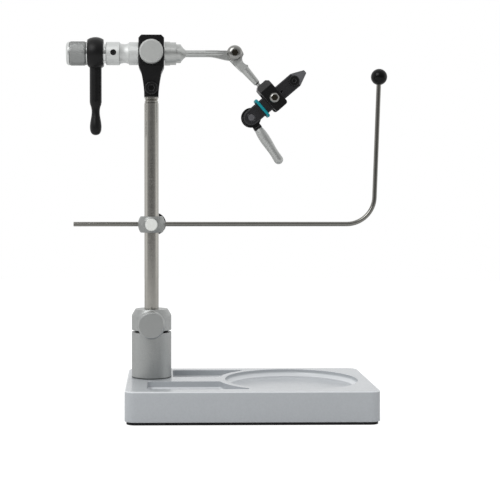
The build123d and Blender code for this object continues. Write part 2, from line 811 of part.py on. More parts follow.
# Arm: a fork on the spindle's tang, scalloped above, then a tapered rod set to one side of the
# pivot and a neck that enters the jaw holder
fork_slot_half = tang_thickness / 2 + face_clearance
fork_half = fork_slot_half + arm_cheek_thickness
fork_slot_end = knuckle_radius + arm_slot_end_gap
scallop_middle = arm_scallop_waist + arm_scallop_radius - arm_eye_radius
arm_shoulder_radius = arm_shoulder_diameter / 2
arm_rod_radius = arm_rod_diameter / 2
arm_rod_end = arm_length - holder_above_screw - arm_neck_gap
arm_end = arm_length - holder_above_screw + holder_socket_depth
arm_axis_origin = knuckle - arm_side * arm_offset
with BuildPart() as jaw_arm:
    with BuildSketch(front_plane(knuckle, arm_direction)):
        Circle(arm_eye_radius)
        with Locations((arm_fork_length - arm_shoulder_lap / 2, -arm_offset)):
            Rectangle(arm_shoulder_lap, arm_shoulder_diameter)
        make_hull()
        with Locations((arm_scallop_from_pivot, scallop_middle)):
            Circle(arm_scallop_radius, mode=Mode.SUBTRACT)
    extrude(amount=fork_half, both=True)
    with BuildSketch(Plane(origin=knuckle, x_dir=arm_direction, z_dir=arm_side)):
        with BuildLine():
            Polyline(
                (-arm_fork_length, -fork_half),
                (fork_slot_end, -fork_half),
                (arm_fork_length, -arm_shoulder_radius),
                (arm_fork_length, arm_shoulder_radius),
                (fork_slot_end, fork_half),
                (-arm_fork_length, fork_half),
                close=True,
            )
        make_face()
    extrude(amount=arm_fork_length, both=True, mode=Mode.INTERSECT)
    with BuildSketch(front_plane(knuckle, arm_direction)):
        with Locations((fork_slot_end - arm_fork_length, 0)):
            Rectangle(2 * arm_fork_length, 2 * arm_fork_length)
    extrude(amount=fork_slot_half, both=True, mode=Mode.SUBTRACT)
    with BuildSketch(front_plane(arm_axis_origin, arm_direction)):
        with BuildLine():
            Polyline(
                (arm_fork_length - arm_shoulder_lap, 0),
                (arm_fork_length - arm_shoulder_lap, arm_shoulder_radius),
                (arm_fork_length, arm_shoulder_radius),
                (arm_rod_end - arm_rod_end_edge, arm_rod_radius),
                (arm_rod_end, arm_neck_diameter / 2),
                (arm_end, arm_neck_diameter / 2),
                (arm_end, 0),
                close=True,
            )
        make_face()
    revolve(axis=Axis(arm_axis_origin, arm_direction))
    with BuildSketch(front_plane(knuckle)):
        Circle(pivot_screw_diameter / 2 + running_clearance)
    extrude(amount=2 * fork_half, both=True, mode=Mode.SUBTRACT)


def button_screw(origin, seat, radius, head_radius, head_height, hex_size, shank_end):
    """Domed socket screw along Y: its head sits on the face at -seat and its shank ends at shank_end."""
    with BuildPart() as screw:
        with BuildSketch(level_plane(origin)):
            with BuildLine():
                shank = Polyline(
                    (0, shank_end),
                    (radius, shank_end),
                    (radius, -seat),
                    (head_radius, -seat),
                    (head_radius, -seat - button_rim_rise * head_height),
                )
                dome = ThreePointArc(
                    shank @ 1,
                    (button_shoulder_reach * head_radius, -seat - button_shoulder_rise * head_height),
                    (button_flat_reach * head_radius, -seat - head_height),
                )
                Polyline(dome @ 1, (0, -seat - head_height), shank @ 0)
            make_face()
        revolve(axis=Axis(origin, Y_DIR))
        with BuildSketch(front_plane(origin - Y_DIR * (seat + head_height))):
            RegularPolygon(hex_circumradius(hex_size), 6)
        extrude(amount=-head_height / 2, mode=Mode.SUBTRACT)
    return screw


pivot_screw = button_screw(
    knuckle,
    fork_half,
    pivot_screw_diameter / 2,
    pivot_screw_head_diameter / 2,
    pivot_screw_head_height,
    pivot_screw_hex,
    shank_end=fork_half,
)

# Jaw holder: a clevis with a chamfered and sloped crown, open below for the jaws
holder_slot_half = jaw_half + face_clearance
holder_depth = holder_slot_half + holder_cheek_thickness
crown_depth = holder_depth - holder_crown_slope_depth
crown_start = -holder_above_screw + holder_crown_slope_length
neck_socket = arm_axis_origin + arm_direction * (arm_length - holder_above_screw)
with BuildPart() as jaw_holder:
    with BuildSketch(front_plane(holder_origin, arm_direction)):
        with Locations(((holder_below_screw - holder_above_screw) / 2, 0)):
            Rectangle(holder_above_screw + holder_below_screw, holder_width)
        chamfer(vertices().group_by(Axis.X)[0], holder_top_chamfer)
        fillet(vertices().group_by(Axis.X)[-1], holder_corner_radius)
    extrude(amount=holder_depth, both=True)
    with BuildSketch(Plane(origin=holder_origin, x_dir=arm_direction, z_dir=arm_side)):
        with BuildLine():
            Polyline(
                (-holder_above_screw, -crown_depth),
                (crown_start, -holder_depth),
                (holder_below_screw, -holder_depth),
                (holder_below_screw, holder_depth),
                (crown_start, holder_depth),
                (-holder_above_screw, crown_depth),
                close=True,
            )
        make_face()
    extrude(amount=holder_width, both=True, mode=Mode.INTERSECT)
    with BuildSketch(front_plane(holder_origin, arm_direction)):
        with Locations((holder_crown_height, 0)):
            Rectangle(2 * holder_above_screw, 2 * holder_width)
    extrude(amount=holder_slot_half, both=True, mode=Mode.SUBTRACT)
    with BuildSketch(across_plane(neck_socket, arm_direction)):
        Circle(arm_neck_diameter / 2 + running_clearance)
    extrude(amount=holder_socket_depth + running_clearance, mode=Mode.SUBTRACT)
    with BuildSketch(front_plane(holder_origin)):
        Circle(holder_screw_diameter / 2 + running_clearance)
    extrude(amount=2 * holder_depth, both=True, mode=Mode.SUBTRACT)

holder_screw = button_screw(
    holder_origin,
    holder_depth,
    holder_screw_diameter / 2,
    holder_screw_head_diameter / 2,
    holder_screw_head_height,
    holder_screw_hex,
    shank_end=holder_depth,
)

# Jaws: bars with a round rear end, a tapered nose and a recess for the cam lever's disc
jaw_half_width = jaw_width / 2
nose_start = jaw_front_length - jaw_nose_length
cam_recess_face = cam_disc_thickness / 2 + cam_land_height + 2 * running_clearance
jaw_side = Vector(-sin(radians(jaw_angle)), 0, cos(radians(jaw_angle)))
nose_side = Plane(origin=holder_origin, x_dir=jaw_direction, z_dir=jaw_side)


def jaw_bar(side):
    """One jaw without its own screw hole: side is -1 for the front jaw and +1 for the rear jaw."""
    outward = Y_DIR * side
    with BuildPart() as bar:
        with BuildSketch(front_plane(holder_origin + outward * jaw_gap / 2, jaw_direction)):
            with BuildLine():
                lower = Polyline(
                    (-jaw_rear_length, -jaw_half_width),
                    (nose_start, -jaw_half_width),
                    (jaw_front_length, -jaw_tip_width / 2),
                    (jaw_front_length, jaw_tip_width / 2),
                    (nose_start, jaw_half_width),
                    (-jaw_rear_length, jaw_half_width),
                )
                ThreePointArc(lower @ 1, (-jaw_rear_length - jaw_half_width, 0), lower @ 0)
            make_face()
            fillet(vertices().group_by(Axis.X)[-1], jaw_tip_width / 3)
        extrude(amount=-side * jaw_thickness)
        outer_face = bar.faces().sort_by(Axis.Y)[-1 if side > 0 else 0]
        chamfer(outer_face.edges().filter_by(Axis(holder_origin, jaw_direction)), jaw_edge)
        with BuildSketch(nose_side):
            with BuildLine():
                Polyline(
                    (nose_start, side * jaw_half),
                    (jaw_front_length, side * (jaw_gap / 2 + jaw_tip_thickness)),
                    (jaw_front_length + jaw_tip_width, side * jaw_gap / 2),
                    (jaw_front_length + jaw_tip_width, side * jaw_half),
                    close=True,
                )
            make_face()
        extrude(amount=jaw_width, both=True, mode=Mode.SUBTRACT)
        with BuildSketch(front_plane(cam_origin)):
            Circle(cam_disc_radius + knob_clearance)
        extrude(amount=cam_recess_face, both=True, mode=Mode.SUBTRACT)
        with BuildSketch(front_plane(cam_origin)):
            Circle(cam_pin_diameter / 2 + 2 * running_clearance)
        extrude(amount=2 * jaw_half, both=True, mode=Mode.SUBTRACT)
        with BuildSketch(front_plane(holder_origin)):
            Circle(holder_screw_diameter / 2 + rocking_clearance)
        extrude(amount=2 * jaw_half, both=True, mode=Mode.SUBTRACT)
    return bar.part


nose_screw_origin = holder_origin + jaw_direction * nose_screw_offset
nose_seat = jaw_half + nose_screw_proud - nose_screw_head_height
with BuildPart() as front_jaw:
    add(jaw_bar(-1))
    with BuildSketch(front_plane(nose_screw_origin - Y_DIR * nose_seat)):
        Circle(nose_screw_head_diameter / 2 + running_clearance)
    extrude(amount=jaw_half, mode=Mode.SUBTRACT)
    with BuildSketch(front_plane(nose_screw_origin)):
        Circle(nose_screw_diameter / 2 + running_clearance)
    extrude(amount=jaw_half, mode=Mode.SUBTRACT)
    with BuildSketch(front_plane(holder_origin + jaw_direction * jaw_hole_offset)):
        Circle(jaw_hole_diameter / 2)
    extrude(amount=2 * jaw_half, mode=Mode.SUBTRACT)

nose_screw_end = jaw_gap / 2 + jaw_thickness / 2
with BuildPart() as rear_jaw:
    add(jaw_bar(1))
    with BuildSketch(front_plane(nose_screw_origin)):
        Circle(nose_screw_diameter / 2 + rocking_clearance)
    extrude(amount=-(nose_screw_end + 3 * rocking_clearance), mode=Mode.SUBTRACT)

# Adjusting screw seated in the front jaw's nose
with BuildPart() as nose_screw:
    with BuildSketch(front_plane(nose_screw_origin - Y_DIR * nose_seat)):
        Circle(nose_screw_head_diameter / 2)
    extrude(amount=nose_screw_head_height)
    chamfer(nose_screw.edges().sort_by(Axis.Y)[0], screw_edge)
    with BuildSketch(front_plane(nose_screw_origin - Y_DIR * (nose_seat + nose_screw_head_height))):
        RegularPolygon(hex_circumradius(nose_screw_hex), 6)
    extrude(amount=-nose_screw_head_height / 2, mode=Mode.SUBTRACT)
    with BuildSketch(front_plane(nose_screw_origin + Y_DIR * nose_screw_end)):
        Circle(nose_screw_diameter / 2)
    extrude(amount=nose_screw_end + nose_seat)

# Rubber ring round both jaws: it draws their rear ends together
ring_wire_radius = ring_wire_diameter / 2
ring_half_depth = jaw_half + rocking_clearance + ring_wire_radius
ring_half_width = jaw_half_width + rocking_clearance + ring_wire_radius
ring_plane = across_plane(holder_origin - jaw_direction * ring_offset, jaw_direction)
with BuildPart() as jaw_ring:
    with BuildLine(ring_plane):
        ring_path = FilletPolyline(
            (ring_half_depth, -ring_half_width),
            (ring_half_depth, ring_half_width),
            (-ring_half_depth, ring_half_width),
            (-ring_half_depth, -ring_half_width),
            radius=ring_corner_radius,
            close=True,
        )
    with BuildSketch(Plane(origin=ring_path @ 0, z_dir=ring_path % 0)):
        Circle(ring_wire_radius)
    sweep()

# Cam lever: a disc with raised lands between the jaws, a neck and a stub for the handle
with BuildPart() as cam_pin:
    with BuildSketch(front_plane(cam_origin)):
        Circle(cam_pin_diameter / 2)
    extrude(amount=jaw_half, both=True)
    chamfer(cam_pin.edges().filter_by(GeomType.CIRCLE), screw_edge)

land_radius = (cam_disc_radius + cam_pin_diameter / 2) / 2
land_width = (cam_disc_radius - cam_pin_diameter / 2) / 2
lever_plane = front_plane(cam_origin, lever_direction)
with BuildPart() as cam_lever:
    with BuildSketch(lever_plane):
        Circle(cam_disc_radius)
        with Locations((lever_neck_start / 2, 0)):
            Rectangle(lever_neck_start, lever_neck_width)
    extrude(amount=cam_disc_thickness / 2, both=True)
    with BuildSketch(lever_plane):
        with PolarLocations(land_radius, 2, start_angle=90):
            SlotOverall(cam_land_length, land_width, rotation=90)
    extrude(amount=cam_disc_thickness / 2 + cam_land_height, both=True)
    with BuildSketch(lever_plane):
        with Locations(((lever_neck_start + lever_handle_start) / 2, 0)):
            Rectangle(lever_handle_start - lever_neck_start, lever_neck_width)
    extrude(amount=lever_neck_thickness / 2, both=True)
    with BuildSketch(across_plane(cam_origin + lever_direction * lever_handle_start, lever_direction)):
        Circle(lever_stub_diameter / 2)
    extrude(amount=lever_stub_length)
    with BuildSketch(lever_plane):
        Circle(cam_pin_diameter / 2 + running_clearance)
    extrude(amount=lever_neck_thickness, both=True, mode=Mode.SUBTRACT)

# Handle on the lever: a turned grip with a belly and a round end
handle_end = lever_handle_start + lever_handle_length
stub_bore_end = lever_handle_start + lever_stub_length + face_clearance
with BuildPart() as lever_handle:
    with BuildSketch(lever_plane):
        with BuildLine():
            grip_side = Spline(
                (lever_handle_start, lever_handle_start_radius),
                (lever_handle_start + lever_handle_belly_place, lever_handle_belly_radius),
                (lever_handle_start + lever_handle_waist_place, lever_handle_waist_radius),
                (handle_end - lever_handle_end_radius, lever_handle_end_radius),
                tangents=((4, 1), (1, 0)),
            )
            round_end = TangentArc(grip_side @ 1, (handle_end, 0), tangent=(1, 0))
            Polyline(
                round_end @ 1,
                (stub_bore_end, 0),
                (stub_bore_end, lever_stub_diameter / 2 + running_clearance),
                (lever_handle_start, lever_stub_diameter / 2 + running_clearance),
                grip_side @ 0,
            )
        make_face()
    revolve(axis=Axis(cam_origin, lever_direction))

# Material rest: split bush, barrel block with a rear boss, front plug, rear knob, bent rod and ball
rest_bush_radius = stem_bore_radius + rest_bush_wall
rest_bush_half = rest_block_height / 2 - rest_bush_recess
rest_rod_radius = rest_rod_diameter / 2
rest_rod_back = rest_bush_radius + rest_rod_wall + rest_rod_radius + 2 * running_clearance
rest_boss_end = rest_rod_back + rest_rod_radius + rest_boss_length
rest_rod_origin = rest_origin + Y_DIR * rest_rod_back
rest_lock_origin = rest_origin + X_DIR * rest_boss_side
with BuildPart() as rest_bush:
    with BuildSketch(level_plane(rest_origin)):
        Circle(rest_bush_radius)
        Circle(stem_bore_radius, mode=Mode.SUBTRACT)
        with Locations((0, -rest_bush_radius)):
            Rectangle(rest_bush_slit, 2 * rest_bush_wall + rest_bush_slit, mode=Mode.SUBTRACT)
    extrude(amount=rest_bush_half, both=True)

with BuildPart() as rest_block:
    with BuildSketch(front_plane(rest_origin)):
        with BuildLine():
            barrel = ThreePointArc(
                (rest_block_end_radius, -rest_block_height / 2),
                (rest_block_radius, 0),
                (rest_block_end_radius, rest_block_height / 2),
            )
            Polyline(barrel @ 1, (0, rest_block_height / 2), (0, -rest_block_height / 2), barrel @ 0)
        make_face()
    revolve(axis=Axis(rest_origin, Z_DIR))
    with BuildSketch(front_plane(rest_lock_origin)):
        Circle(rest_boss_diameter / 2)
    extrude(amount=-rest_boss_end)
    with BuildSketch(level_plane(rest_origin)):
        Circle(rest_bush_radius + running_clearance)
    extrude(amount=rest_block_height, both=True, mode=Mode.SUBTRACT)
    with BuildSketch(across_plane(rest_rod_origin, X_DIR)):
        Circle(rest_rod_radius + running_clearance)
    extrude(amount=2 * rest_block_radius, both=True, mode=Mode.SUBTRACT)
    with BuildSketch(front_plane(rest_lock_origin + Y_DIR * rest_rod_back)):
        Circle(rest_stud_diameter / 2 + running_clearance)
    extrude(amount=-2 * rest_boss_end, mode=Mode.SUBTRACT)
    with BuildSketch(front_plane(rest_origin - Y_DIR * (rest_block_radius - rest_plug_depth))):
        Circle(rest_plug_diameter / 2 + running_clearance)
    extrude(amount=rest_block_radius, mode=Mode.SUBTRACT)

with BuildPart() as rest_plug:
    with BuildSketch(front_plane(rest_origin - Y_DIR * (rest_block_radius - rest_plug_depth))):
        Circle(rest_plug_diameter / 2)
    extrude(amount=rest_plug_depth + rest_plug_proud)
    chamfer(rest_plug.edges().sort_by(Axis.Y)[0], screw_edge)

rest_knob = clamp_knob(
    rest_lock_origin,
    rest_knob_diameter / 2,
    rest_knob_thickness,
    rest_stud_diameter / 2,
    seat=rest_boss_end + knob_clearance,
    stud_end=rest_rod_back + rest_rod_radius + 2 * running_clearance,
    toward=1,
)

rest_corner = rest_rod_origin + X_DIR * rest_rod_right
ball_origin = rest_rod_origin + X_DIR * rest_ball_reach + Z_DIR * rest_ball_rise
upright = ball_origin - rest_corner
upright_direction = upright.normalized()
upright_length = upright.length - rest_ball_radius + rest_rod_in_ball
with BuildPart() as rest_rod:
    with BuildLine():
        rod_path = FilletPolyline(
            rest_rod_origin - X_DIR * rest_rod_left,
            rest_corner,
            rest_corner + upright_direction * upright_length,
            radius=rest_rod_bend,
        )
    with BuildSketch(across_plane(rod_path @ 0, X_DIR)):
        Circle(rest_rod_radius)
    sweep()

with BuildPart() as rest_ball:
    with Locations(ball_origin):
        Sphere(rest_ball_radius)
    with BuildSketch(across_plane(rest_corner, upright_direction)):
        Circle(rest_rod_radius + running_clearance)
    extrude(amount=upright_length + running_clearance, mode=Mode.SUBTRACT)

pieces = {
    "base_plate": base_plate,
    "base_pad": base_pad,
    "stem_post": stem_post,
    "post_bolt": post_bolt,
    "post_clamp_knob": post_clamp_knob,
    "post_clamp_shoe": post_clamp_shoe,
    "stem": stem,
    "swivel_washer": swivel_washer,
    "head_housing": head_housing,
    "crank_side_bush": crank_side_bush,
    "jaw_side_bush": jaw_side_bush,
    "head_screw": head_screw,
    "tension_knob": tension_knob,
    "tension_shoe": tension_shoe,
    "rotary_spindle": rotary_spindle,
    "drive_sleeve": drive_sleeve,
    "sleeve_set_screw": sleeve_set_screw,
    "inner_washer": inner_washer,
    "outer_washer": outer_washer,
    "crank": crank,
    "end_knob": end_knob,
    "jaw_arm": jaw_arm,
    "pivot_screw": pivot_screw,
    "jaw_holder": jaw_holder,
    "holder_screw": holder_screw,
    "front_jaw": front_jaw,
    "rear_jaw": rear_jaw,
    "nose_screw": nose_screw,
    "jaw_ring": jaw_ring,
    "cam_pin": cam_pin,
    "cam_lever": cam_lever,
    "lever_handle": lever_handle,
    "rest_bush": rest_bush,
    "rest_block": rest_block,
    "rest_plug": rest_plug,
    "rest_knob": rest_knob,
    "rest_rod": rest_rod,
    "rest_ball": rest_ball,
}
for name, piece in pieces.items():
    piece.part.label = name
    export_step(piece.part, f"parts/{name}.step")
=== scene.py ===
"""Finishes, fine detail and studio for a rotary fly tying vise.

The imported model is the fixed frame, in metres: +X runs from the crank to the jaws, +Y away
from the tyer and +Z up the stem.  Every piece made here rides on one of its bodies.
"""

import json
from math import pi, radians

import bpy
import numpy as np
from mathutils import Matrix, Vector


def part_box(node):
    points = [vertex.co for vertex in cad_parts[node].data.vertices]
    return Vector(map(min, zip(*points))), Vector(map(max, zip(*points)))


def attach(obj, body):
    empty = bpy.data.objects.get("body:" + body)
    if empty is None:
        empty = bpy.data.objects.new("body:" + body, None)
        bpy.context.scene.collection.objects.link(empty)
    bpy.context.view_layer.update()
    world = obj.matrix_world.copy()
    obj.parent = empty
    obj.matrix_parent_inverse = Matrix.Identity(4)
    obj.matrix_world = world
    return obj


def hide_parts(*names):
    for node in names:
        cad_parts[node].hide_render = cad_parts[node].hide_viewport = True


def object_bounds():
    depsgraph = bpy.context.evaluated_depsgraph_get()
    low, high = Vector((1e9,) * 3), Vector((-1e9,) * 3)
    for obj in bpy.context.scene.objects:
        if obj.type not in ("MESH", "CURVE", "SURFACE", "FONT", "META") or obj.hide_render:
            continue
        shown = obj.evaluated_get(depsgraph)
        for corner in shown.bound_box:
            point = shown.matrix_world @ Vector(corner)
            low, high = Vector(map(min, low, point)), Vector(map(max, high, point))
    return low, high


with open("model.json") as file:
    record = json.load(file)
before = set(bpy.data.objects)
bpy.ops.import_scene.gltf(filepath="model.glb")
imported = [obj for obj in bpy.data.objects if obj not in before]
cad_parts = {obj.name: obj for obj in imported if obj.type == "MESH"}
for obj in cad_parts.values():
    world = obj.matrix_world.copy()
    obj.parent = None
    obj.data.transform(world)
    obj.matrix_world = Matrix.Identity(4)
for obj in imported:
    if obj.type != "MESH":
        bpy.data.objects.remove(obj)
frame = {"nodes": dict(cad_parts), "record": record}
cad_low, cad_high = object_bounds()

bl_info = {
    "name": "Fly tying vise",
    "version": (1, 0, 0),
    "blender": (4, 5, 0),
    "location": "3D View > Sidebar > Vise",
    "description": "Dresses a packed fly tying vise with its finishes, its fine detail and a studio",
    "category": "Object",
}

MM = 0.001
# Even shader values of bare and of anodised metal.
METAL = {"Metallic": 1.0}


def linear(hex_colour):
    """Linear red, green and blue of an sRGB hex colour such as "#8f9190"."""
    srgb = np.array([int(hex_colour[place:place + 2], 16) for place in (1, 3, 5)]) / 255
    curve = np.where(srgb <= 0.04045, srgb / 12.92, ((srgb + 0.055) / 1.055) ** 2.4)
    return tuple(float(channel) for channel in curve)


def colour_property(name, description, hex_colour):
    """A colour that a user may change, with its default given as an sRGB hex value."""
    return bpy.props.FloatVectorProperty(
        name=name,
        description=description,
        subtype="COLOR",
        size=3,
        min=0,
        max=1,
        default=linear(hex_colour),
    )


def length_property(name, description, millimetres):
    """A length that a user may change, with its default given in millimetres."""
    return bpy.props.FloatProperty(
        name=name, description=description, unit="LENGTH", default=millimetres * MM, precision=5
    )


class ViseColours(bpy.types.PropertyGroup):
    """Colours of the vise's finishes."""

    base_paint: colour_property("Base paint", "Powder coat of the base plate", "#b9bdc1")
    pad_rubber: colour_property("Pad rubber", "Sheet rubber under the base", "#141315")
    grey_metal: colour_property("Grey metal", "Blasted grey anodising of post and knob", "#b0b2b1")
    rest_metal: colour_property("Rest metal", "Blasted grey anodising of the rest's block", "#9fa19f")
    # This colour is painted shade: the dark line in the seam at the post's foot.
    seam_shade: colour_property("Seam oil", "Old oil in the seam at the post's foot", "#4c4d4d")
    stainless: colour_property("Stainless", "Ground bar of the stem", "#aeaca6")
    drawn_metal: colour_property("Drawn metal", "Drawn stainless rod of the rest", "#888782")
    # The knurled colour is darker partly as painted shade in the knurl's hollows.
    knurled_metal: colour_property("Knurled metal", "Cut aluminium of the end knob", "#a1a3a2")
    silver_metal: colour_property("Silver metal", "Turned aluminium of sleeve and washers", "#dee0df")
    frosted_metal: colour_property("Frosted metal", "Face of the rest's plug", "#f0f2ee")
    satin_metal: colour_property("Satin metal", "Aluminium of spindle, arm and handle", "#c0c2c0")
    black_metal: colour_property("Black metal", "Anodising of head, crank and holder", "#0b0b0c")
    black_steel: colour_property("Black steel", "Black oxide of the jaws", "#1c1c1f")
    oiled_steel: colour_property("Oiled steel", "Black oxide of the socket screws", "#0c0c0d")
    ground_steel: colour_property("Ground steel", "Bare steel of jaw tips and cam pin", "#86868a")
    bright_metal: colour_property("Bright metal", "Plating of the two button screws", "#9c9c99")
    # This colour is painted shade inside the button screws' hexagon sockets.
    socket_shade: colour_property("Socket grease", "Old grease in the button screws", "#4e4a40")
    black_plastic: colour_property("Black plastic", "Moulded ball and rest knob", "#060606")
    teal_rubber: colour_property("Teal rubber", "Ring round the jaws", "#00909c")
    bronze: colour_property("Bronze", "Spindle bushes and the clamp shoe", "#c69a5e")
    nylon: colour_property("Nylon", "Shoe under the tension knob", "#e9e6dc")


class ViseSizes(bpy.types.PropertyGroup):
    """Sizes of the fine detail."""

    edge_round: length_property("Edge round", "Radius that a broken edge shows", 0.45)
    knurl_depth: length_property("Knurl depth", "Depth of the end knob's knurling", 0.3)
    knurl_pitch: length_property("Knurl pitch", "Size of one diamond of the knurling", 0.95)
    # The bright rim is partly a painted highlight on the knob's left rim.
    bright_rim: length_property("Bright rim", "Width of the end knob's polished rim", 2.2)
    nose_length: length_property("Nose length", "Bare ground steel at the jaws' tips", 9.0)
    turning_pitch: length_property("Turning pitch", "Feed of the lathe tool on the knobs' faces", 0.4)
    # Height of the painted shade line in the seam at the post's foot.
    seam_height: length_property("Seam height", "Oil line at the post's foot", 0.9)
    socket_radius: length_property("Socket radius", "Hexagon sockets of the button screws", 2.4)


class ViseStudio(bpy.types.PropertyGroup):
    """The camera, the lamp and the levels of the studio."""

    camera_place: bpy.props.FloatVectorProperty(
        name="Camera place",
        description="Where the camera stands",
        subtype="TRANSLATION",
        unit="LENGTH",
        size=3,
        default=(-56.9 * MM, -815.8 * MM, 149.4 * MM),
    )
    camera_pitch: bpy.props.FloatProperty(
        name="Camera pitch", description="Downward tilt", unit="ROTATION", default=radians(1.496)
    )
    camera_yaw: bpy.props.FloatProperty(
        name="Camera yaw", description="Turn to the right", unit="ROTATION", default=radians(0.967)
    )
    camera_lens: bpy.props.FloatProperty(
        name="Lens", description="Focal length in millimetres", default=85.74
    )
    shift_right: bpy.props.FloatProperty(
        name="Shift right", description="Share of the frame", default=0.13
    )
    shift_down: bpy.props.FloatProperty(
        name="Shift down", description="Share of the frame", default=0.05
    )
    key_place: bpy.props.FloatVectorProperty(
        name="Key place",
        description="Where the soft lamp hangs, at the upper left",
        subtype="TRANSLATION",
        unit="LENGTH",
        size=3,
        default=(-0.8, -1.1, 1.2),
    )
    key_side: bpy.props.FloatProperty(
        name="Key side", description="Side of the square soft lamp", unit="LENGTH", default=1.0
    )
    key_power: bpy.props.FloatProperty(
        name="Key power", description="Power of the soft lamp", unit="POWER", default=11
    )
    front_level: bpy.props.FloatProperty(
        name="Front level", description="Light of the room behind the camera", default=0.18
    )
    back_level: bpy.props.FloatProperty(
        name="Back level", description="Light of the white paper behind the vise", default=0.95
    )
    top_level: bpy.props.FloatProperty(
        name="Top level", description="Light that the ceiling adds", default=0.25
    )
    side_level: bpy.props.FloatProperty(
        name="Side level", description="Light that the side panels add", default=0.5
    )
    floor_reach: bpy.props.FloatProperty(
        name="Floor reach", description="Radius of the paper floor", unit="LENGTH", default=1.3
    )
    floor_glow: bpy.props.FloatProperty(
        name="Floor glow", description="Light that lifts the floor to white for the camera", default=0.84
    )


def settings(group):
    """One of the scene's property groups."""
    return getattr(bpy.context.scene, "vise_" + group)


def add_node(tree, kind, sockets=None, **properties):
    """Adds a node with its properties; each socket takes a value or the output that feeds it."""
    node = tree.nodes.new(kind)
    for key, value in properties.items():
        setattr(node, key, value)
    for key, value in (sockets or {}).items():
        if isinstance(value, bpy.types.NodeSocket):
            tree.links.new(value, node.inputs[key])
        else:
            node.inputs[key].default_value = value
    return node


def per_mm(size):
    """Texture scale at which one feature of a pattern is size millimetres."""
    return 1 / (size * MM)


def start_finish(name, colour, sockets=None):
    """An empty material with one shader: even values sit on the shader's own sockets."""
    material = bpy.data.materials.new(name)
    material.use_nodes = True
    material.diffuse_color = (*colour, 1)
    tree = material.node_tree
    tree.nodes.clear()
    shader = add_node(tree, "ShaderNodeBsdfPrincipled", sockets)
    shader.inputs["Base Color"].default_value = (*colour, 1)
    add_node(tree, "ShaderNodeOutputMaterial", {"Surface": shader.outputs["BSDF"]})
    coords = add_node(tree, "ShaderNodeTexCoord").outputs["Object"]
    return material, tree, shader, coords


def shades(colour, spread):
    """A darker and a lighter shade of a colour, ready for a colour socket."""
    return [(*(channel * (1 + side * spread) for channel in colour), 1) for side in (-1, 1)]


def broken_edges(tree):
    """The normal of a surface with rounded-off edges, and how far each point lies on such an edge.

    An edge begins where the cosine between the rounded and the plain normal falls below 0.985, and
    is full at 0.8.
    """
    rounded = add_node(tree, "ShaderNodeBevel", {"Radius": settings("sizes").edge_round}, samples=6)
    plain = add_node(tree, "ShaderNodeNewGeometry")
    normals = {0: rounded.outputs["Normal"], 1: plain.outputs["Normal"]}
    likeness = add_node(tree, "ShaderNodeVectorMath", normals, operation="DOT_PRODUCT")
    span = {"Value": likeness.outputs["Value"], "From Min": 0.985, "From Max": 0.8}
    on_edge = add_node(tree, "ShaderNodeMapRange", span)
    return rounded.outputs["Normal"], on_edge.outputs["Result"]


def shade_surface(tree, shader, height, depth_mm, clouds, roughness, tones, edge_tone=None):
    """Feeds a finish's grain to its shader.

    height is the grain's relief and depth_mm its depth, and the colour runs between its two tones
    with it; clouds is a slow pattern that runs the roughness between its two ends; the edge colour is
    laid on rounded edges, partly as real wear and, where it is paler than the finish, as a painted
    highlight, and a piece without such edges has none.  Noise seldom leaves the middle half of its
    range, so that half is spread over the whole of each.
    """
    share = add_node(tree, "ShaderNodeMapRange", {"Value": height, "From Min": 0.25, "From Max": 0.75})
    ends = {0: share.outputs["Result"], 6: tones[0], 7: tones[1]}
    colour = add_node(tree, "ShaderNodeMix", ends, data_type="RGBA").outputs[2]
    relief = {"Height": height, "Distance": depth_mm * MM, "Strength": 1.0}
    bump = add_node(tree, "ShaderNodeBump", relief)
    if edge_tone:
        # Rounded edges take the edge colour: partly wear and, where it is paler, a painted highlight.
        normal, on_edge = broken_edges(tree)
        tree.links.new(normal, bump.inputs["Normal"])
        ends = {0: on_edge, 6: colour, 7: (*edge_tone, 1)}
        colour = add_node(tree, "ShaderNodeMix", ends, data_type="RGBA").outputs[2]
    smooth, rough = roughness
    span = {"Value": clouds, "From Min": 0.3, "From Max": 0.7, "To Min": smooth, "To Max": rough}
    dulled = add_node(tree, "ShaderNodeMapRange", span)
    tree.links.new(colour, shader.inputs["Base Color"])
    tree.links.new(bump.outputs["Normal"], shader.inputs["Normal"])
    tree.links.new(dulled.outputs["Result"], shader.inputs["Roughness"])


def even_grain(grain_mm, cloud_mm=9.0):
    """A grain and slow clouds that look the same along every direction.

    A blasted or ground grain of about 0.1 mm would not show in the render, so such a grain is drawn
    several times as coarse.
    """

    def pattern(tree, coords):
        grains = (
            {"Vector": coords, "Scale": per_mm(grain_mm), "Detail": 0.0},
            {"Vector": coords, "Scale": per_mm(cloud_mm), "Detail": 3.0},
        )
        return [add_node(tree, "ShaderNodeTexNoise", grain).outputs["Fac"] for grain in grains]

    return pattern


def fine_lines(*line_mm):
    """Noise drawn out into lines: line_mm gives its feature's size along X, Y and Z.

    A tool's lines of about 0.1 mm would not show in the render, so they are drawn 0.4 mm apart.
    """

    def pattern(tree, coords):
        span = {"Vector": coords, "Scale": [per_mm(size) for size in line_mm]}
        stretched = add_node(tree, "ShaderNodeMapping", span).outputs["Vector"]
        lines = add_node(tree, "ShaderNodeTexNoise", {"Vector": stretched, "Scale": 1.0, "Detail": 3.0})
        return lines.outputs["Fac"], lines.outputs["Fac"]

    return pattern


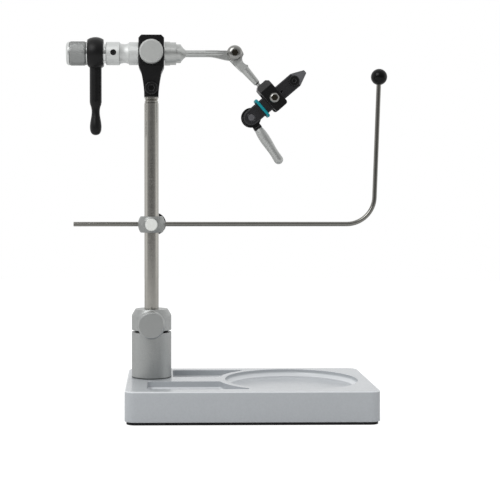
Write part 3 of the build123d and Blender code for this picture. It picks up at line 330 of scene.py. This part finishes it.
def tool_rings(node):
    """The tool's rings on a face turned about the line through the node's middle along Y.

    A Wave texture's rings repeat every 2 pi / 20 of its scaled length.  A real feed of about 0.1 mm
    would not show in the render, so turning_pitch is several times as coarse.
    """
    low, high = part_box(node)
    middle = (low + high) / 2

    def pattern(tree, coords):
        centred = add_node(tree, "ShaderNodeVectorMath", {0: coords, 1: middle}, operation="SUBTRACT")
        rings = add_node(
            tree,
            "ShaderNodeTexWave",
            {
                "Vector": centred.outputs["Vector"],
                "Scale": 2 * pi / 20 / settings("sizes").turning_pitch,
                "Distortion": 0.6,
                "Detail": 1.0,
            },
            wave_type="RINGS",
            rings_direction="Y",
        )
        slow = {"Vector": coords, "Scale": per_mm(6.0), "Detail": 3.0}
        clouds = add_node(tree, "ShaderNodeTexNoise", slow)
        return rings.outputs["Fac"], clouds.outputs["Fac"]

    return pattern


def surface_finish(
    name, colour, pattern, depth_mm, roughness, spread, edge_tone=None, patch=None, sockets=None
):
    """A finish whose pattern gives its relief and its clouds.

    spread is how far its two tones lie from its colour; patch is a second colour and the function
    that says where it lies; sockets are even values of the shader.
    """
    material, tree, shader, coords = start_finish(name, colour, sockets)
    height, clouds = pattern(tree, coords)
    tones = shades(colour, spread)
    if patch:
        second, place = patch
        share = place(tree, coords)
        mixes = [{0: share, 6: tone, 7: (*second, 1)} for tone in tones]
        tones = [add_node(tree, "ShaderNodeMix", mix, data_type="RGBA").outputs[2] for mix in mixes]
    shade_surface(tree, shader, height, depth_mm, clouds, roughness, tones, edge_tone)
    return material


def on_highlit_edges(tree, _coords):
    """Where a surface leans between an upright wall and a level face, by its normal's upward part: there
    the base gets its painted edge highlight.
    """
    facing = add_node(tree, "ShaderNodeNewGeometry").outputs["Normal"]
    upward = add_node(tree, "ShaderNodeSeparateXYZ", {"Vector": facing}).outputs["Z"]
    spans = (
        {"Value": upward, "From Min": 0.15, "From Max": 0.45},
        {"Value": upward, "From Min": 0.98, "From Max": 0.85},
    )
    off_wall, off_level = [add_node(tree, "ShaderNodeMapRange", span).outputs["Result"] for span in spans]
    both = add_node(tree, "ShaderNodeMath", {0: off_wall, 1: off_level}, operation="MULTIPLY")
    return both.outputs["Value"]


def in_foot_seam(tree, coords):
    """Where the post meets the base plate: the band that gets the painted shade of the seam."""
    seam_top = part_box("base_plate")[1].z + settings("sizes").seam_height
    level = add_node(tree, "ShaderNodeSeparateXYZ", {"Vector": coords}).outputs["Z"]
    span = {"Value": level, "From Min": seam_top, "From Max": seam_top - 0.3 * MM}
    return add_node(tree, "ShaderNodeMapRange", span).outputs["Result"]


def on_left_rim(node):
    """Where the smooth rim at a knob's left end lies."""
    rim_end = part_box(node)[0].x + settings("sizes").bright_rim

    def place(tree, coords):
        along = add_node(tree, "ShaderNodeSeparateXYZ", {"Vector": coords}).outputs["X"]
        span = {"Value": along, "From Min": rim_end, "From Max": rim_end - 0.2 * MM}
        return add_node(tree, "ShaderNodeMapRange", span).outputs["Result"]

    return place


def in_socket(node):
    """Where a button screw's hexagon socket lies, below the screw's front face: there the painted shade
    goes.
    """
    low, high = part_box(node)
    face = ((low.x + high.x) / 2, low.y, (low.z + high.z) / 2)
    reach = settings("sizes").socket_radius
    edge = 0.05 * MM

    def place(tree, coords):
        ends = {0: coords, 1: face}
        inward = add_node(tree, "ShaderNodeVectorMath", ends, operation="SUBTRACT").outputs["Vector"]
        ends = {0: inward, 1: (1, 0, 1)}
        flat = add_node(tree, "ShaderNodeVectorMath", ends, operation="MULTIPLY").outputs["Vector"]
        radius = add_node(tree, "ShaderNodeVectorMath", {0: flat}, operation="LENGTH").outputs["Value"]
        depth = add_node(tree, "ShaderNodeSeparateXYZ", {"Vector": inward}).outputs["Y"]
        spans = (
            {"Value": radius, "From Min": reach + edge, "From Max": reach - edge},
            {"Value": depth, "From Min": 0.3 * MM, "From Max": 0.7 * MM},
        )
        within, below = [add_node(tree, "ShaderNodeMapRange", span).outputs["Result"] for span in spans]
        both = add_node(tree, "ShaderNodeMath", {0: within, 1: below}, operation="MULTIPLY")
        return both.outputs["Value"]

    return place


def powder_coat():
    """Satin powder coat on steel: melted grains leave a fine orange peel and a soft, wide gloss.

    Rounded edges, between a level face and an upright one, get a paler colour as a painted highlight.
    """
    # A pale colour painted on the base's rounded and broken edges as a highlight.
    painted_edge_highlight = linear("#e8ebee")
    return surface_finish(
        "satin_powder_coat",
        settings("colours").base_paint,
        even_grain(1.2, cloud_mm=14.0),
        depth_mm=0.03,
        roughness=(0.19, 0.25),
        spread=0.02,
        edge_tone=painted_edge_highlight,
        patch=(painted_edge_highlight, on_highlit_edges),
    )


def sheet_rubber():
    """Black sheet rubber: no gloss, with a fine leathery grain from its press."""
    colour = settings("colours").pad_rubber
    return surface_finish(
        "sheet_rubber", colour, even_grain(0.5), depth_mm=0.03, roughness=(0.75, 0.9), spread=0.15
    )


def blasted_grey(name, colour, patch=None):
    """Bead-blasted grey anodised aluminium: tiny dimples spread each reflection into a soft band."""
    return surface_finish(
        name,
        colour,
        even_grain(0.5),
        depth_mm=0.01,
        roughness=(0.40, 0.46),
        spread=0.07,
        # Paler edges: partly wear, partly a painted edge highlight.
        edge_tone=linear("#cfd1d0"),
        patch=patch,
        sockets=METAL,
    )


def seamed_grey():
    """Blasted grey on the post, with a painted shade line in the seam at its foot."""
    colours = settings("colours")
    return blasted_grey("seamed_grey_anodised", colours.grey_metal, (colours.seam_shade, in_foot_seam))


def faced_metal(name, colour, node, roughness, edge_tone, metallic):
    """Faced aluminium: the lathe tool leaves fine rings that break the light into faint circles."""
    return surface_finish(
        name,
        colour,
        tool_rings(node),
        depth_mm=0.006,
        roughness=roughness,
        spread=0.03,
        edge_tone=linear(edge_tone),
        sockets={"Metallic": metallic},
    )


def faced_grey(node):
    """Grey anodising over the tool's rings: a soft grey glint, paler round the rim, partly rubbed and
    partly a painted highlight.
    """
    colour = settings("colours").grey_metal
    return faced_metal("faced_grey_anodised", colour, node, (0.36, 0.44), edge_tone="#cfd1d0", metallic=1.0)


def faced_silver(node):
    """Pale aluminium knob: the tool's rings under a soft bloom, brighter round the rim, partly rubbed and
    partly a painted highlight.
    """
    colour = settings("colours").satin_metal
    return faced_metal("faced_aluminium", colour, node, (0.45, 0.55), edge_tone="#f0f1f0", metallic=0.55)


def frosted_face(node):
    """Frosted aluminium: acid leaves a dull, nearly white face with a trace of the tool's rings."""
    colour = settings("colours").frosted_metal
    return faced_metal("frosted_aluminium", colour, node, (0.55, 0.65), edge_tone="#d8dad6", metallic=0.1)


def ground_stainless():
    """Centreless-ground stainless bar: fine lines round the bar, with a slightly warm grey."""
    return surface_finish(
        "ground_stainless",
        settings("colours").stainless,
        fine_lines(5, 5, 0.4),
        depth_mm=0.0003,
        roughness=(0.17, 0.23),
        spread=0.05,
        sockets=METAL,
    )


def drawn_stainless():
    """Drawn stainless wire: faint lines along the rod and an even satin sheen."""
    return surface_finish(
        "drawn_stainless",
        settings("colours").drawn_metal,
        fine_lines(8, 0.4, 8),
        depth_mm=0.0002,
        roughness=(0.14, 0.20),
        spread=0.05,
        sockets=METAL,
    )


def turned_metal(name, colour, roughness, patch=None):
    """Turned aluminium, lightly blasted: rings left by the tool about X under a soft pale sheen."""
    return surface_finish(
        name,
        colour,
        fine_lines(0.4, 4, 4),
        depth_mm=0.003,
        roughness=roughness,
        spread=0.03,
        patch=patch,
        sockets=METAL,
    )


def knurled_aluminium(node):
    """Knurled aluminium: grey in the diamonds, partly painted shade of their hollows, and paler on the
    smooth left rim, partly smoother metal and partly a painted highlight.
    """
    colours = settings("colours")
    # The smooth left rim is paler: smoother metal and a painted highlight.
    rim = (colours.silver_metal, on_left_rim(node))
    return turned_metal("knurled_aluminium", colours.knurled_metal, (0.34, 0.42), rim)


def satin_silver():
    """Blasted aluminium without tool marks: an even satin grey."""
    return surface_finish(
        "satin_aluminium",
        settings("colours").satin_metal,
        even_grain(0.5),
        depth_mm=0.008,
        roughness=(0.42, 0.48),
        spread=0.06,
        sockets=METAL,
    )


def black_anodised():
    """Satin black anodised aluminium: nearly black, greyer on its edges, partly rubbed and partly a
    painted highlight.
    """
    return surface_finish(
        "black_anodised",
        settings("colours").black_metal,
        even_grain(0.4),
        depth_mm=0.006,
        roughness=(0.34, 0.42),
        spread=0.12,
        edge_tone=linear("#5c5c5e"),
        sockets={"Specular IOR Level": 0.28},
    )


def black_oxide():
    """Black oxide on hardened steel: oily and dark, with a fine ground grain and paler edges, partly
    rubbed and partly a painted highlight.
    """
    return surface_finish(
        "black_oxide_steel",
        settings("colours").oiled_steel,
        even_grain(0.4),
        depth_mm=0.005,
        roughness=(0.30, 0.38),
        spread=0.1,
        edge_tone=linear("#626265"),
        sockets={"Specular IOR Level": 0.3},
    )


def jaw_line():
    """The tip of the closed jaws and the direction that they point in."""
    grip = next(mount for mount in frame["record"]["mounts"] if mount["name"] == "jaw_grip")
    return Vector(grip["pos_m"]), Vector(grip["axis"]).normalized()


def jaw_steel():
    """Black oxide on the jaws' bars, ground off to bare steel on their tapered noses."""
    colours = settings("colours")
    tip, axis = jaw_line()
    nose_start = axis.dot(tip) - settings("sizes").nose_length
    edge = 0.2 * MM
    material, tree, shader, coords = start_finish("jaw_steel", colours.black_steel)
    along = add_node(tree, "ShaderNodeVectorMath", {0: coords, 1: axis}, operation="DOT_PRODUCT")
    span = {
        "Value": along.outputs["Value"],
        "From Min": nose_start - edge,
        "From Max": nose_start + edge,
    }
    bare = add_node(tree, "ShaderNodeMapRange", span).outputs["Result"]
    grains = (
        {"Vector": coords, "Scale": per_mm(0.3), "Detail": 2.0},
        {"Vector": coords, "Scale": per_mm(5.0), "Detail": 3.0},
    )
    height, clouds = [add_node(tree, "ShaderNodeTexNoise", grain).outputs["Fac"] for grain in grains]
    steels = []
    for colour, spread in ((colours.black_steel, 0.1), (colours.ground_steel, 0.08)):
        dark, light = shades(colour, spread)
        ends = {0: clouds, 6: dark, 7: light}
        steels.append(add_node(tree, "ShaderNodeMix", ends, data_type="RGBA").outputs[2])
    ends = {0: bare, 6: steels[0], 7: steels[1]}
    steel = add_node(tree, "ShaderNodeMix", ends, data_type="RGBA").outputs[2]
    shade_surface(
        tree,
        shader,
        height,
        depth_mm=0.004,
        clouds=clouds,
        roughness=(0.32, 0.4),
        tones=(steel, steel),
        # Paler edges: partly wear, partly a painted edge highlight.
        edge_tone=linear("#5e5e62"),
    )
    tree.links.new(bare, shader.inputs["Metallic"])
    return material


def ground_pin():
    """Bare ground steel of the cam pin's ends: a dull grey glint."""
    return surface_finish(
        "ground_steel",
        settings("colours").ground_steel,
        even_grain(0.4),
        depth_mm=0.003,
        roughness=(0.34, 0.42),
        spread=0.06,
        sockets=METAL,
    )


def bright_plate(node):
    """Bright zinc plate: a hard clear reflection, hardly any grain, and painted shade in the socket."""
    colours = settings("colours")
    return surface_finish(
        "bright_plated_steel",
        colours.bright_metal,
        even_grain(0.5),
        depth_mm=0.0003,
        roughness=(0.20, 0.26),
        spread=0.02,
        # The socket is filled with painted shade.
        patch=(colours.socket_shade, in_socket(node)),
        sockets=METAL,
    )


def moulded_black():
    """Moulded black phenolic: polished, with one small clear highlight."""
    return surface_finish(
        "moulded_phenolic",
        settings("colours").black_plastic,
        even_grain(0.8),
        depth_mm=0.0008,
        roughness=(0.2, 0.26),
        spread=0.08,
        sockets={"Specular IOR Level": 0.2},
    )


def ring_rubber():
    """Teal nitrile ring: smooth moulded rubber with a dull skin."""
    return surface_finish(
        "teal_nitrile",
        settings("colours").teal_rubber,
        even_grain(0.6),
        depth_mm=0.008,
        roughness=(0.45, 0.55),
        spread=0.06,
        sockets={"Specular IOR Level": 0.3},
    )


def bearing_bronze():
    """Sintered bronze: a dull warm metal with open pores."""
    return surface_finish(
        "sintered_bronze",
        settings("colours").bronze,
        even_grain(0.2),
        depth_mm=0.02,
        roughness=(0.45, 0.55),
        spread=0.04,
        sockets=METAL,
    )


def white_nylon():
    """Moulded nylon: off-white and waxy."""
    colour = settings("colours").nylon
    return surface_finish(
        "moulded_nylon", colour, even_grain(0.4), depth_mm=0.005, roughness=(0.45, 0.55), spread=0.04
    )


def dress(material, *nodes):
    """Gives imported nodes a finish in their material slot."""
    for node in nodes:
        slots = frame["nodes"][node].data.materials
        slots.clear()
        slots.append(material)


def add_mesh(name, vertices, faces, material, smooth=True):
    """A mesh object at the origin, with its place in its vertices."""
    mesh = bpy.data.meshes.new(name)
    mesh.from_pydata(vertices.tolist(), [], faces.tolist())
    mesh.polygons.foreach_set("use_smooth", np.full(len(mesh.polygons), smooth))
    mesh.materials.append(material)
    mesh.update()
    piece = bpy.data.objects.new(name, mesh)
    bpy.context.scene.collection.objects.link(piece)
    return piece


def grid_faces(rows, columns, closed=False):
    """Quads of a grid of points numbered row by row.

    The last column joins the first, and on a closed grid the last row joins the first too.
    """
    steps = rows if closed else rows - 1
    row, column = np.meshgrid(np.arange(steps), np.arange(columns), indexing="ij")
    here = row * columns
    next_row = (row + 1) % rows * columns
    after = (column + 1) % columns
    corners = (here + column, here + after, next_row + after, next_row + column)
    return np.stack([corner.ravel() for corner in corners], axis=1)


def triangle_wave(turns):
    """A wave of period 1 that is 1 at whole numbers and 0 half way between them."""
    return np.abs(2 * (turns - np.floor(turns)) - 1)


def knurled_knob(node, material, sizes):
    """The end knob as a lathe surface about X: a smooth rim, a band of diamonds, a narrow rim and a bore.

    On the band the radius is R - d (1 - f (1 - c^2)), where d is the depth, f fades the diamonds out
    at the band's ends and the cut c is the deeper of two V grooves that run as left and right screws:
    c = max(w(n a / 2 pi + x / p), w(n a / 2 pi - x / p)), with w a triangle wave, n diamonds round
    and p their pitch.
    """
    low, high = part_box(node)
    axis_y = (low.y + high.y) / 2
    axis_z = (low.z + high.z) / 2
    outer = (high.z - low.z) / 2
    left = low.x
    # The knob's face stands a hair off the washer, and its bore clears the spindle's stud.
    right = high.x - 0.05 * MM
    bore = 3.1 * MM
    bore_end = right - 10.4 * MM
    points_per_diamond = 6
    count = round(2 * pi * outer / sizes.knurl_pitch)
    columns = points_per_diamond * count
    band = (left + 2.5 * MM, right - 0.9 * MM)
    band_rows = 61
    fade_length = 0.5 * MM
    root = outer - sizes.knurl_depth
    rim = outer - 0.35 * MM
    face_edge = (left, outer - 1.5 * MM)
    rim_start = (left + 1.2 * MM, rim)
    rim_end = (left + 2.1 * MM, rim)
    groove = (left + 2.3 * MM, rim - 0.35 * MM)
    step = (right - 0.75 * MM, rim - 0.2 * MM)
    thin_rim = (right - 0.6 * MM, rim)
    thin_edge = (right, rim - 0.25 * MM)
    profiles = [
        [(left, 0), (left, 3 * MM), face_edge],
        [face_edge, (left + 0.35 * MM, outer - 0.9 * MM), rim_start],
        [rim_start, rim_end],
        [rim_end, groove],
        [groove, (band[0], root)],
        [(band[1], root), step],
        [step, thin_rim],
        [thin_rim, (right - 0.25 * MM, rim), thin_edge],
        [thin_edge, (right, bore)],
        [(right, bore), (bore_end, bore)],
        [(bore_end, bore), (bore_end, 0)],
    ]
    turn = np.linspace(0, 2 * pi, columns, endpoint=False)
    along = np.linspace(*band, band_rows)
    across = count * turn[None, :] / (2 * pi)
    lead = (along[:, None] - band[0]) / sizes.knurl_pitch
    cut = np.maximum(triangle_wave(across + lead), triangle_wave(across - lead))
    fade = np.clip(np.minimum(along - band[0], band[1] - along) / fade_length, 0, 1)[:, None]
    knurl = outer - sizes.knurl_depth * (1 - fade * (1 - cut ** 2))
    grids = [(np.tile(along[:, None], columns), knurl)]
    for profile in profiles:
        stations = np.array(profile)
        grids.append((np.tile(stations[:, :1], columns), np.tile(stations[:, 1:], columns)))
    faces = []
    start = 0
    for place, _ in grids:
        faces.append(grid_faces(*place.shape) + start)
        start += place.size
    places = np.concatenate([place.ravel() for place, _ in grids])
    radius = np.concatenate([reach.ravel() for _, reach in grids])
    angle = np.tile(turn, start // columns)
    depths = axis_y + radius * np.cos(angle)
    heights = axis_z + radius * np.sin(angle)
    vertices = np.stack([places, depths, heights], axis=1)
    return add_mesh("knurled_end_knob", vertices, np.concatenate(faces), material)


def stretched_ring(node, axis, material):
    """The rubber ring as a tube round a rounded rectangle, drawn tight over the jaws' corners.

    In the ring's plane, square to the jaws, n(a) = (cos a, sin a) turns a quarter at each corner, whose
    middle is m.  The surface is m + (q + w cos b) n(a), raised by w sin b along the jaws, where w is the
    wire's radius, q the corner's and b a full turn round the wire.
    """
    mesh = frame["nodes"][node].data
    points = np.empty(3 * len(mesh.vertices), np.float32)
    mesh.vertices.foreach_get("co", points)
    depth = Vector((0, 1, 0))
    axes = np.array([axis, axis.cross(depth), depth])
    spans = points.reshape(-1, 3) @ axes.T
    middle = (spans.max(axis=0) + spans.min(axis=0)) / 2
    wire, half_width, half_depth = (spans.max(axis=0) - spans.min(axis=0)) / 2
    corner = 1.5 * wire
    corner_points = 13
    wire_points = 24
    quarter = np.linspace(0, pi / 2, corner_points)
    turn = np.concatenate([quarter + place * pi / 2 for place in range(4)])[:, None]
    sides = np.repeat([(1, 1), (-1, 1), (-1, -1), (1, -1)], corner_points, axis=0)
    around = np.linspace(0, 2 * pi, wire_points, endpoint=False)[None, :]
    reach = corner + wire * np.cos(around)
    raised = np.tile(wire * np.sin(around), (len(turn), 1))
    across = sides[:, :1] * (half_width - wire - corner) + np.cos(turn) * reach
    deep = sides[:, 1:] * (half_depth - wire - corner) + np.sin(turn) * reach
    surface = np.stack([raised, across, deep], axis=2)
    vertices = (surface.reshape(-1, 3) + middle) @ axes
    return add_mesh("stretched_jaw_ring", vertices, grid_faces(*raised.shape, closed=True), material)


class VISE_OT_base(bpy.types.Operator):
    """Coat the base plate and its rubber pad"""

    bl_idname = "vise.base"
    bl_label = "Base"

    def execute(self, context):
        dress(powder_coat(), "base_plate")
        dress(sheet_rubber(), "base_pad")
        return {"FINISHED"}


class VISE_OT_column(bpy.types.Operator):
    """Finish the post, its knob, the stem and the bronze pieces"""

    bl_idname = "vise.column"
    bl_label = "Post and stem"

    def execute(self, context):
        dress(seamed_grey(), "stem_post")
        dress(faced_grey("post_clamp_knob"), "post_clamp_knob")
        dress(ground_stainless(), "stem", "swivel_washer")
        dress(bearing_bronze(), "post_clamp_shoe", "crank_side_bush", "jaw_side_bush")
        return {"FINISHED"}


class VISE_OT_head(bpy.types.Operator):
    """Finish the head, the other black anodised pieces and the tension knob"""

    bl_idname = "vise.head"
    bl_label = "Head"

    def execute(self, context):
        dress(black_anodised(), "head_housing", "crank", "jaw_holder", "cam_lever")
        dress(faced_silver("tension_knob"), "tension_knob")
        dress(white_nylon(), "tension_shoe")
        return {"FINISHED"}


class VISE_OT_rotary(bpy.types.Operator):
    """Finish the spindle, the sleeve, the washers and the arm, and knurl the end knob"""

    bl_idname = "vise.rotary"
    bl_label = "Rotary"

    def execute(self, context):
        colours = settings("colours")
        dress(turned_metal("turned_sleeve", colours.silver_metal, (0.54, 0.62)), "drive_sleeve")
        dress(turned_metal("turned_spindle", colours.satin_metal, (0.36, 0.44)), "rotary_spindle")
        polished = turned_metal("polished_washer", colours.silver_metal, (0.16, 0.22))
        dress(polished, "inner_washer", "outer_washer")
        dress(satin_silver(), "jaw_arm", "lever_handle")
        knob = knurled_knob("end_knob", knurled_aluminium("end_knob"), settings("sizes"))
        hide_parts("end_knob")
        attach(knob, "crank_nut")
        return {"FINISHED"}


class VISE_OT_jaws(bpy.types.Operator):
    """Finish the jaws, all the screws and the pin, and stretch the rubber ring over the jaws"""

    bl_idname = "vise.jaws"
    bl_label = "Jaws"

    def execute(self, context):
        dress(jaw_steel(), "front_jaw", "rear_jaw")
        dress(black_oxide(), "nose_screw", "head_screw", "sleeve_set_screw", "post_bolt")
        dress(ground_pin(), "cam_pin")
        for screw in ("pivot_screw", "holder_screw"):
            dress(bright_plate(screw), screw)
        _, axis = jaw_line()
        ring = stretched_ring("jaw_ring", axis, ring_rubber())
        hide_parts("jaw_ring")
        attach(ring, "jaw_set")
        return {"FINISHED"}


class VISE_OT_rest(bpy.types.Operator):
    """Finish the material rest"""

    bl_idname = "vise.rest"
    bl_label = "Material rest"

    def execute(self, context):
        rest_metal = settings("colours").rest_metal
        dress(blasted_grey("blasted_grey_anodised", rest_metal), "rest_block")
        dress(frosted_face("rest_plug"), "rest_plug")
        dress(drawn_stainless(), "rest_rod")
        dress(moulded_black(), "rest_bush", "rest_knob", "rest_ball")
        return {"FINISHED"}


def pale_floor(glow_level):
    """Matt white paper: to the camera it glows up to white, and it keeps a soft shadow."""
    paper_white = (0.8, 0.8, 0.8, 1)
    shadow_grey = (0.4, 0.4, 0.4, 1)
    material = bpy.data.materials.new("white_paper")
    material.use_nodes = True
    tree = material.node_tree
    tree.nodes.clear()
    paper = add_node(tree, "ShaderNodeBsdfDiffuse", {"Color": paper_white})
    shadowed = add_node(tree, "ShaderNodeBsdfDiffuse", {"Color": shadow_grey})
    glow = add_node(tree, "ShaderNodeEmission", {"Color": (1, 1, 1, 1), "Strength": glow_level})
    layers = {0: shadowed.outputs["BSDF"], 1: glow.outputs["Emission"]}
    seen = add_node(tree, "ShaderNodeAddShader", layers)
    rays = add_node(tree, "ShaderNodeLightPath")
    mixed = add_node(
        tree,
        "ShaderNodeMixShader",
        {0: rays.outputs["Is Camera Ray"], 1: paper.outputs["BSDF"], 2: seen.outputs["Shader"]},
    )
    add_node(tree, "ShaderNodeOutputMaterial", {"Surface": mixed.outputs["Shader"]})
    return material


def studio_world(studio):
    """A white room: white to the camera; as light it fades from the paper behind to the dim front.

    Panels on the left and the right and the ceiling add to it.
    """
    world = bpy.data.worlds.new("studio")
    world.use_nodes = True
    tree = world.node_tree
    tree.nodes.clear()
    rays = add_node(tree, "ShaderNodeLightPath")
    direction = add_node(tree, "ShaderNodeTexCoord").outputs["Generated"]
    parts = add_node(tree, "ShaderNodeSeparateXYZ", {"Vector": direction})
    side = add_node(tree, "ShaderNodeMath", {0: parts.outputs["X"]}, operation="ABSOLUTE")
    spans = (
        (parts.outputs["Y"], -1.0, 1.0, studio.front_level, studio.back_level),
        (side.outputs["Value"], 0.85, 1.0, 0.0, studio.side_level),
        (parts.outputs["Z"], 0.0, 1.0, 0.0, studio.top_level),
    )
    names = ("Value", "From Min", "From Max", "To Min", "To Max")
    fades = [add_node(tree, "ShaderNodeMapRange", dict(zip(names, span))) for span in spans]
    walls, panels, ceiling = [fade.outputs["Result"] for fade in fades]
    lit = add_node(tree, "ShaderNodeMath", {0: walls, 1: panels}, operation="ADD").outputs["Value"]
    room = add_node(tree, "ShaderNodeMath", {0: lit, 1: ceiling}, operation="ADD").outputs["Value"]
    white = add_node(
        tree,
        "ShaderNodeMath",
        {0: rays.outputs["Is Camera Ray"], 1: rays.outputs["Is Transmission Ray"]},
        operation="MAXIMUM",
    )
    ends = {0: white.outputs["Value"], 2: room, 3: 1.0}
    level = add_node(tree, "ShaderNodeMix", ends, data_type="FLOAT")
    sky = add_node(tree, "ShaderNodeBackground", {"Color": (1, 1, 1, 1), "Strength": level.outputs[0]})
    add_node(tree, "ShaderNodeOutputWorld", {"Surface": sky.outputs["Background"]})
    return world


def add_lamp(name, place, side, power, target):
    """A square soft lamp that faces the target."""
    lamp = bpy.data.lights.new(name, "AREA")
    lamp.shape = "SQUARE"
    lamp.size = side
    lamp.energy = power
    holder = bpy.data.objects.new(name, lamp)
    holder.location = place
    holder.rotation_euler = (target - Vector(place)).to_track_quat("-Z", "Y").to_euler()
    bpy.context.scene.collection.objects.link(holder)


class VISE_OT_studio(bpy.types.Operator):
    """Build the floor, the lamp and the camera"""

    bl_idname = "vise.studio"
    bl_label = "Studio"

    def execute(self, context):
        studio = settings("studio")
        context.scene.world = studio_world(studio)
        context.scene.view_settings.view_transform = "Standard"
        middle = (cad_low + cad_high) / 2
        rings = np.linspace(10 * MM, studio.floor_reach, 12)
        turns = np.linspace(0, 2 * pi, 48, endpoint=False)
        ring, turn = np.meshgrid(rings, turns, indexing="ij")
        # The paper lies a hair under the pad, so that their faces do not share a plane.
        level = np.full(ring.size, cad_low.z - 0.1 * MM)
        spots = np.stack([(ring * np.cos(turn)).ravel(), (ring * np.sin(turn)).ravel(), level], axis=1)
        paper = pale_floor(studio.floor_glow)
        floor = add_mesh("floor", spots, grid_faces(*ring.shape)[:, ::-1], paper, smooth=False)
        add_lamp("key_lamp", studio.key_place, studio.key_side, studio.key_power, middle)
        lens = bpy.data.cameras.new("camera")
        lens.sensor_width = 36.0
        lens.lens = studio.camera_lens
        lens.shift_x = studio.shift_right
        lens.shift_y = -studio.shift_down
        camera = bpy.data.objects.new("camera", lens)
        camera.location = studio.camera_place
        camera.rotation_euler = (pi / 2 - studio.camera_pitch, 0, -studio.camera_yaw)
        context.scene.collection.objects.link(camera)
        context.scene.camera = camera
        return {"FINISHED"}


class VISE_PT_panel(bpy.types.Panel):
    """Buttons and settings of the vise"""

    bl_idname = "VISE_PT_panel"
    bl_label = "Fly tying vise"
    bl_space_type = "VIEW_3D"
    bl_region_type = "UI"
    bl_category = "Vise"

    def draw(self, context):
        for operator in OPERATORS:
            self.layout.operator(operator.bl_idname)
        for key, group in GROUPS.items():
            for name in group.__annotations__:
                self.layout.prop(settings(key), name)


GROUPS = {"colours": ViseColours, "sizes": ViseSizes, "studio": ViseStudio}
OPERATORS = (
    VISE_OT_base,
    VISE_OT_column,
    VISE_OT_head,
    VISE_OT_rotary,
    VISE_OT_jaws,
    VISE_OT_rest,
    VISE_OT_studio,
)


def register():
    """Registers the settings, the operators and the panel."""
    for key, group in GROUPS.items():
        bpy.utils.register_class(group)
        setattr(bpy.types.Scene, "vise_" + key, bpy.props.PointerProperty(type=group))
    for operator in (*OPERATORS, VISE_PT_panel):
        bpy.utils.register_class(operator)


def unregister():
    """Undoes register."""
    for operator in (VISE_PT_panel, *reversed(OPERATORS)):
        bpy.utils.unregister_class(operator)
    for key, group in GROUPS.items():
        delattr(bpy.types.Scene, "vise_" + key)
        bpy.utils.unregister_class(group)


def main():
    """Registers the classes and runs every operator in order."""
    register()
    for operator in OPERATORS:
        group, action = operator.bl_idname.split(".")
        getattr(getattr(bpy.ops, group), action)()


if __name__ == "__main__":
    main()
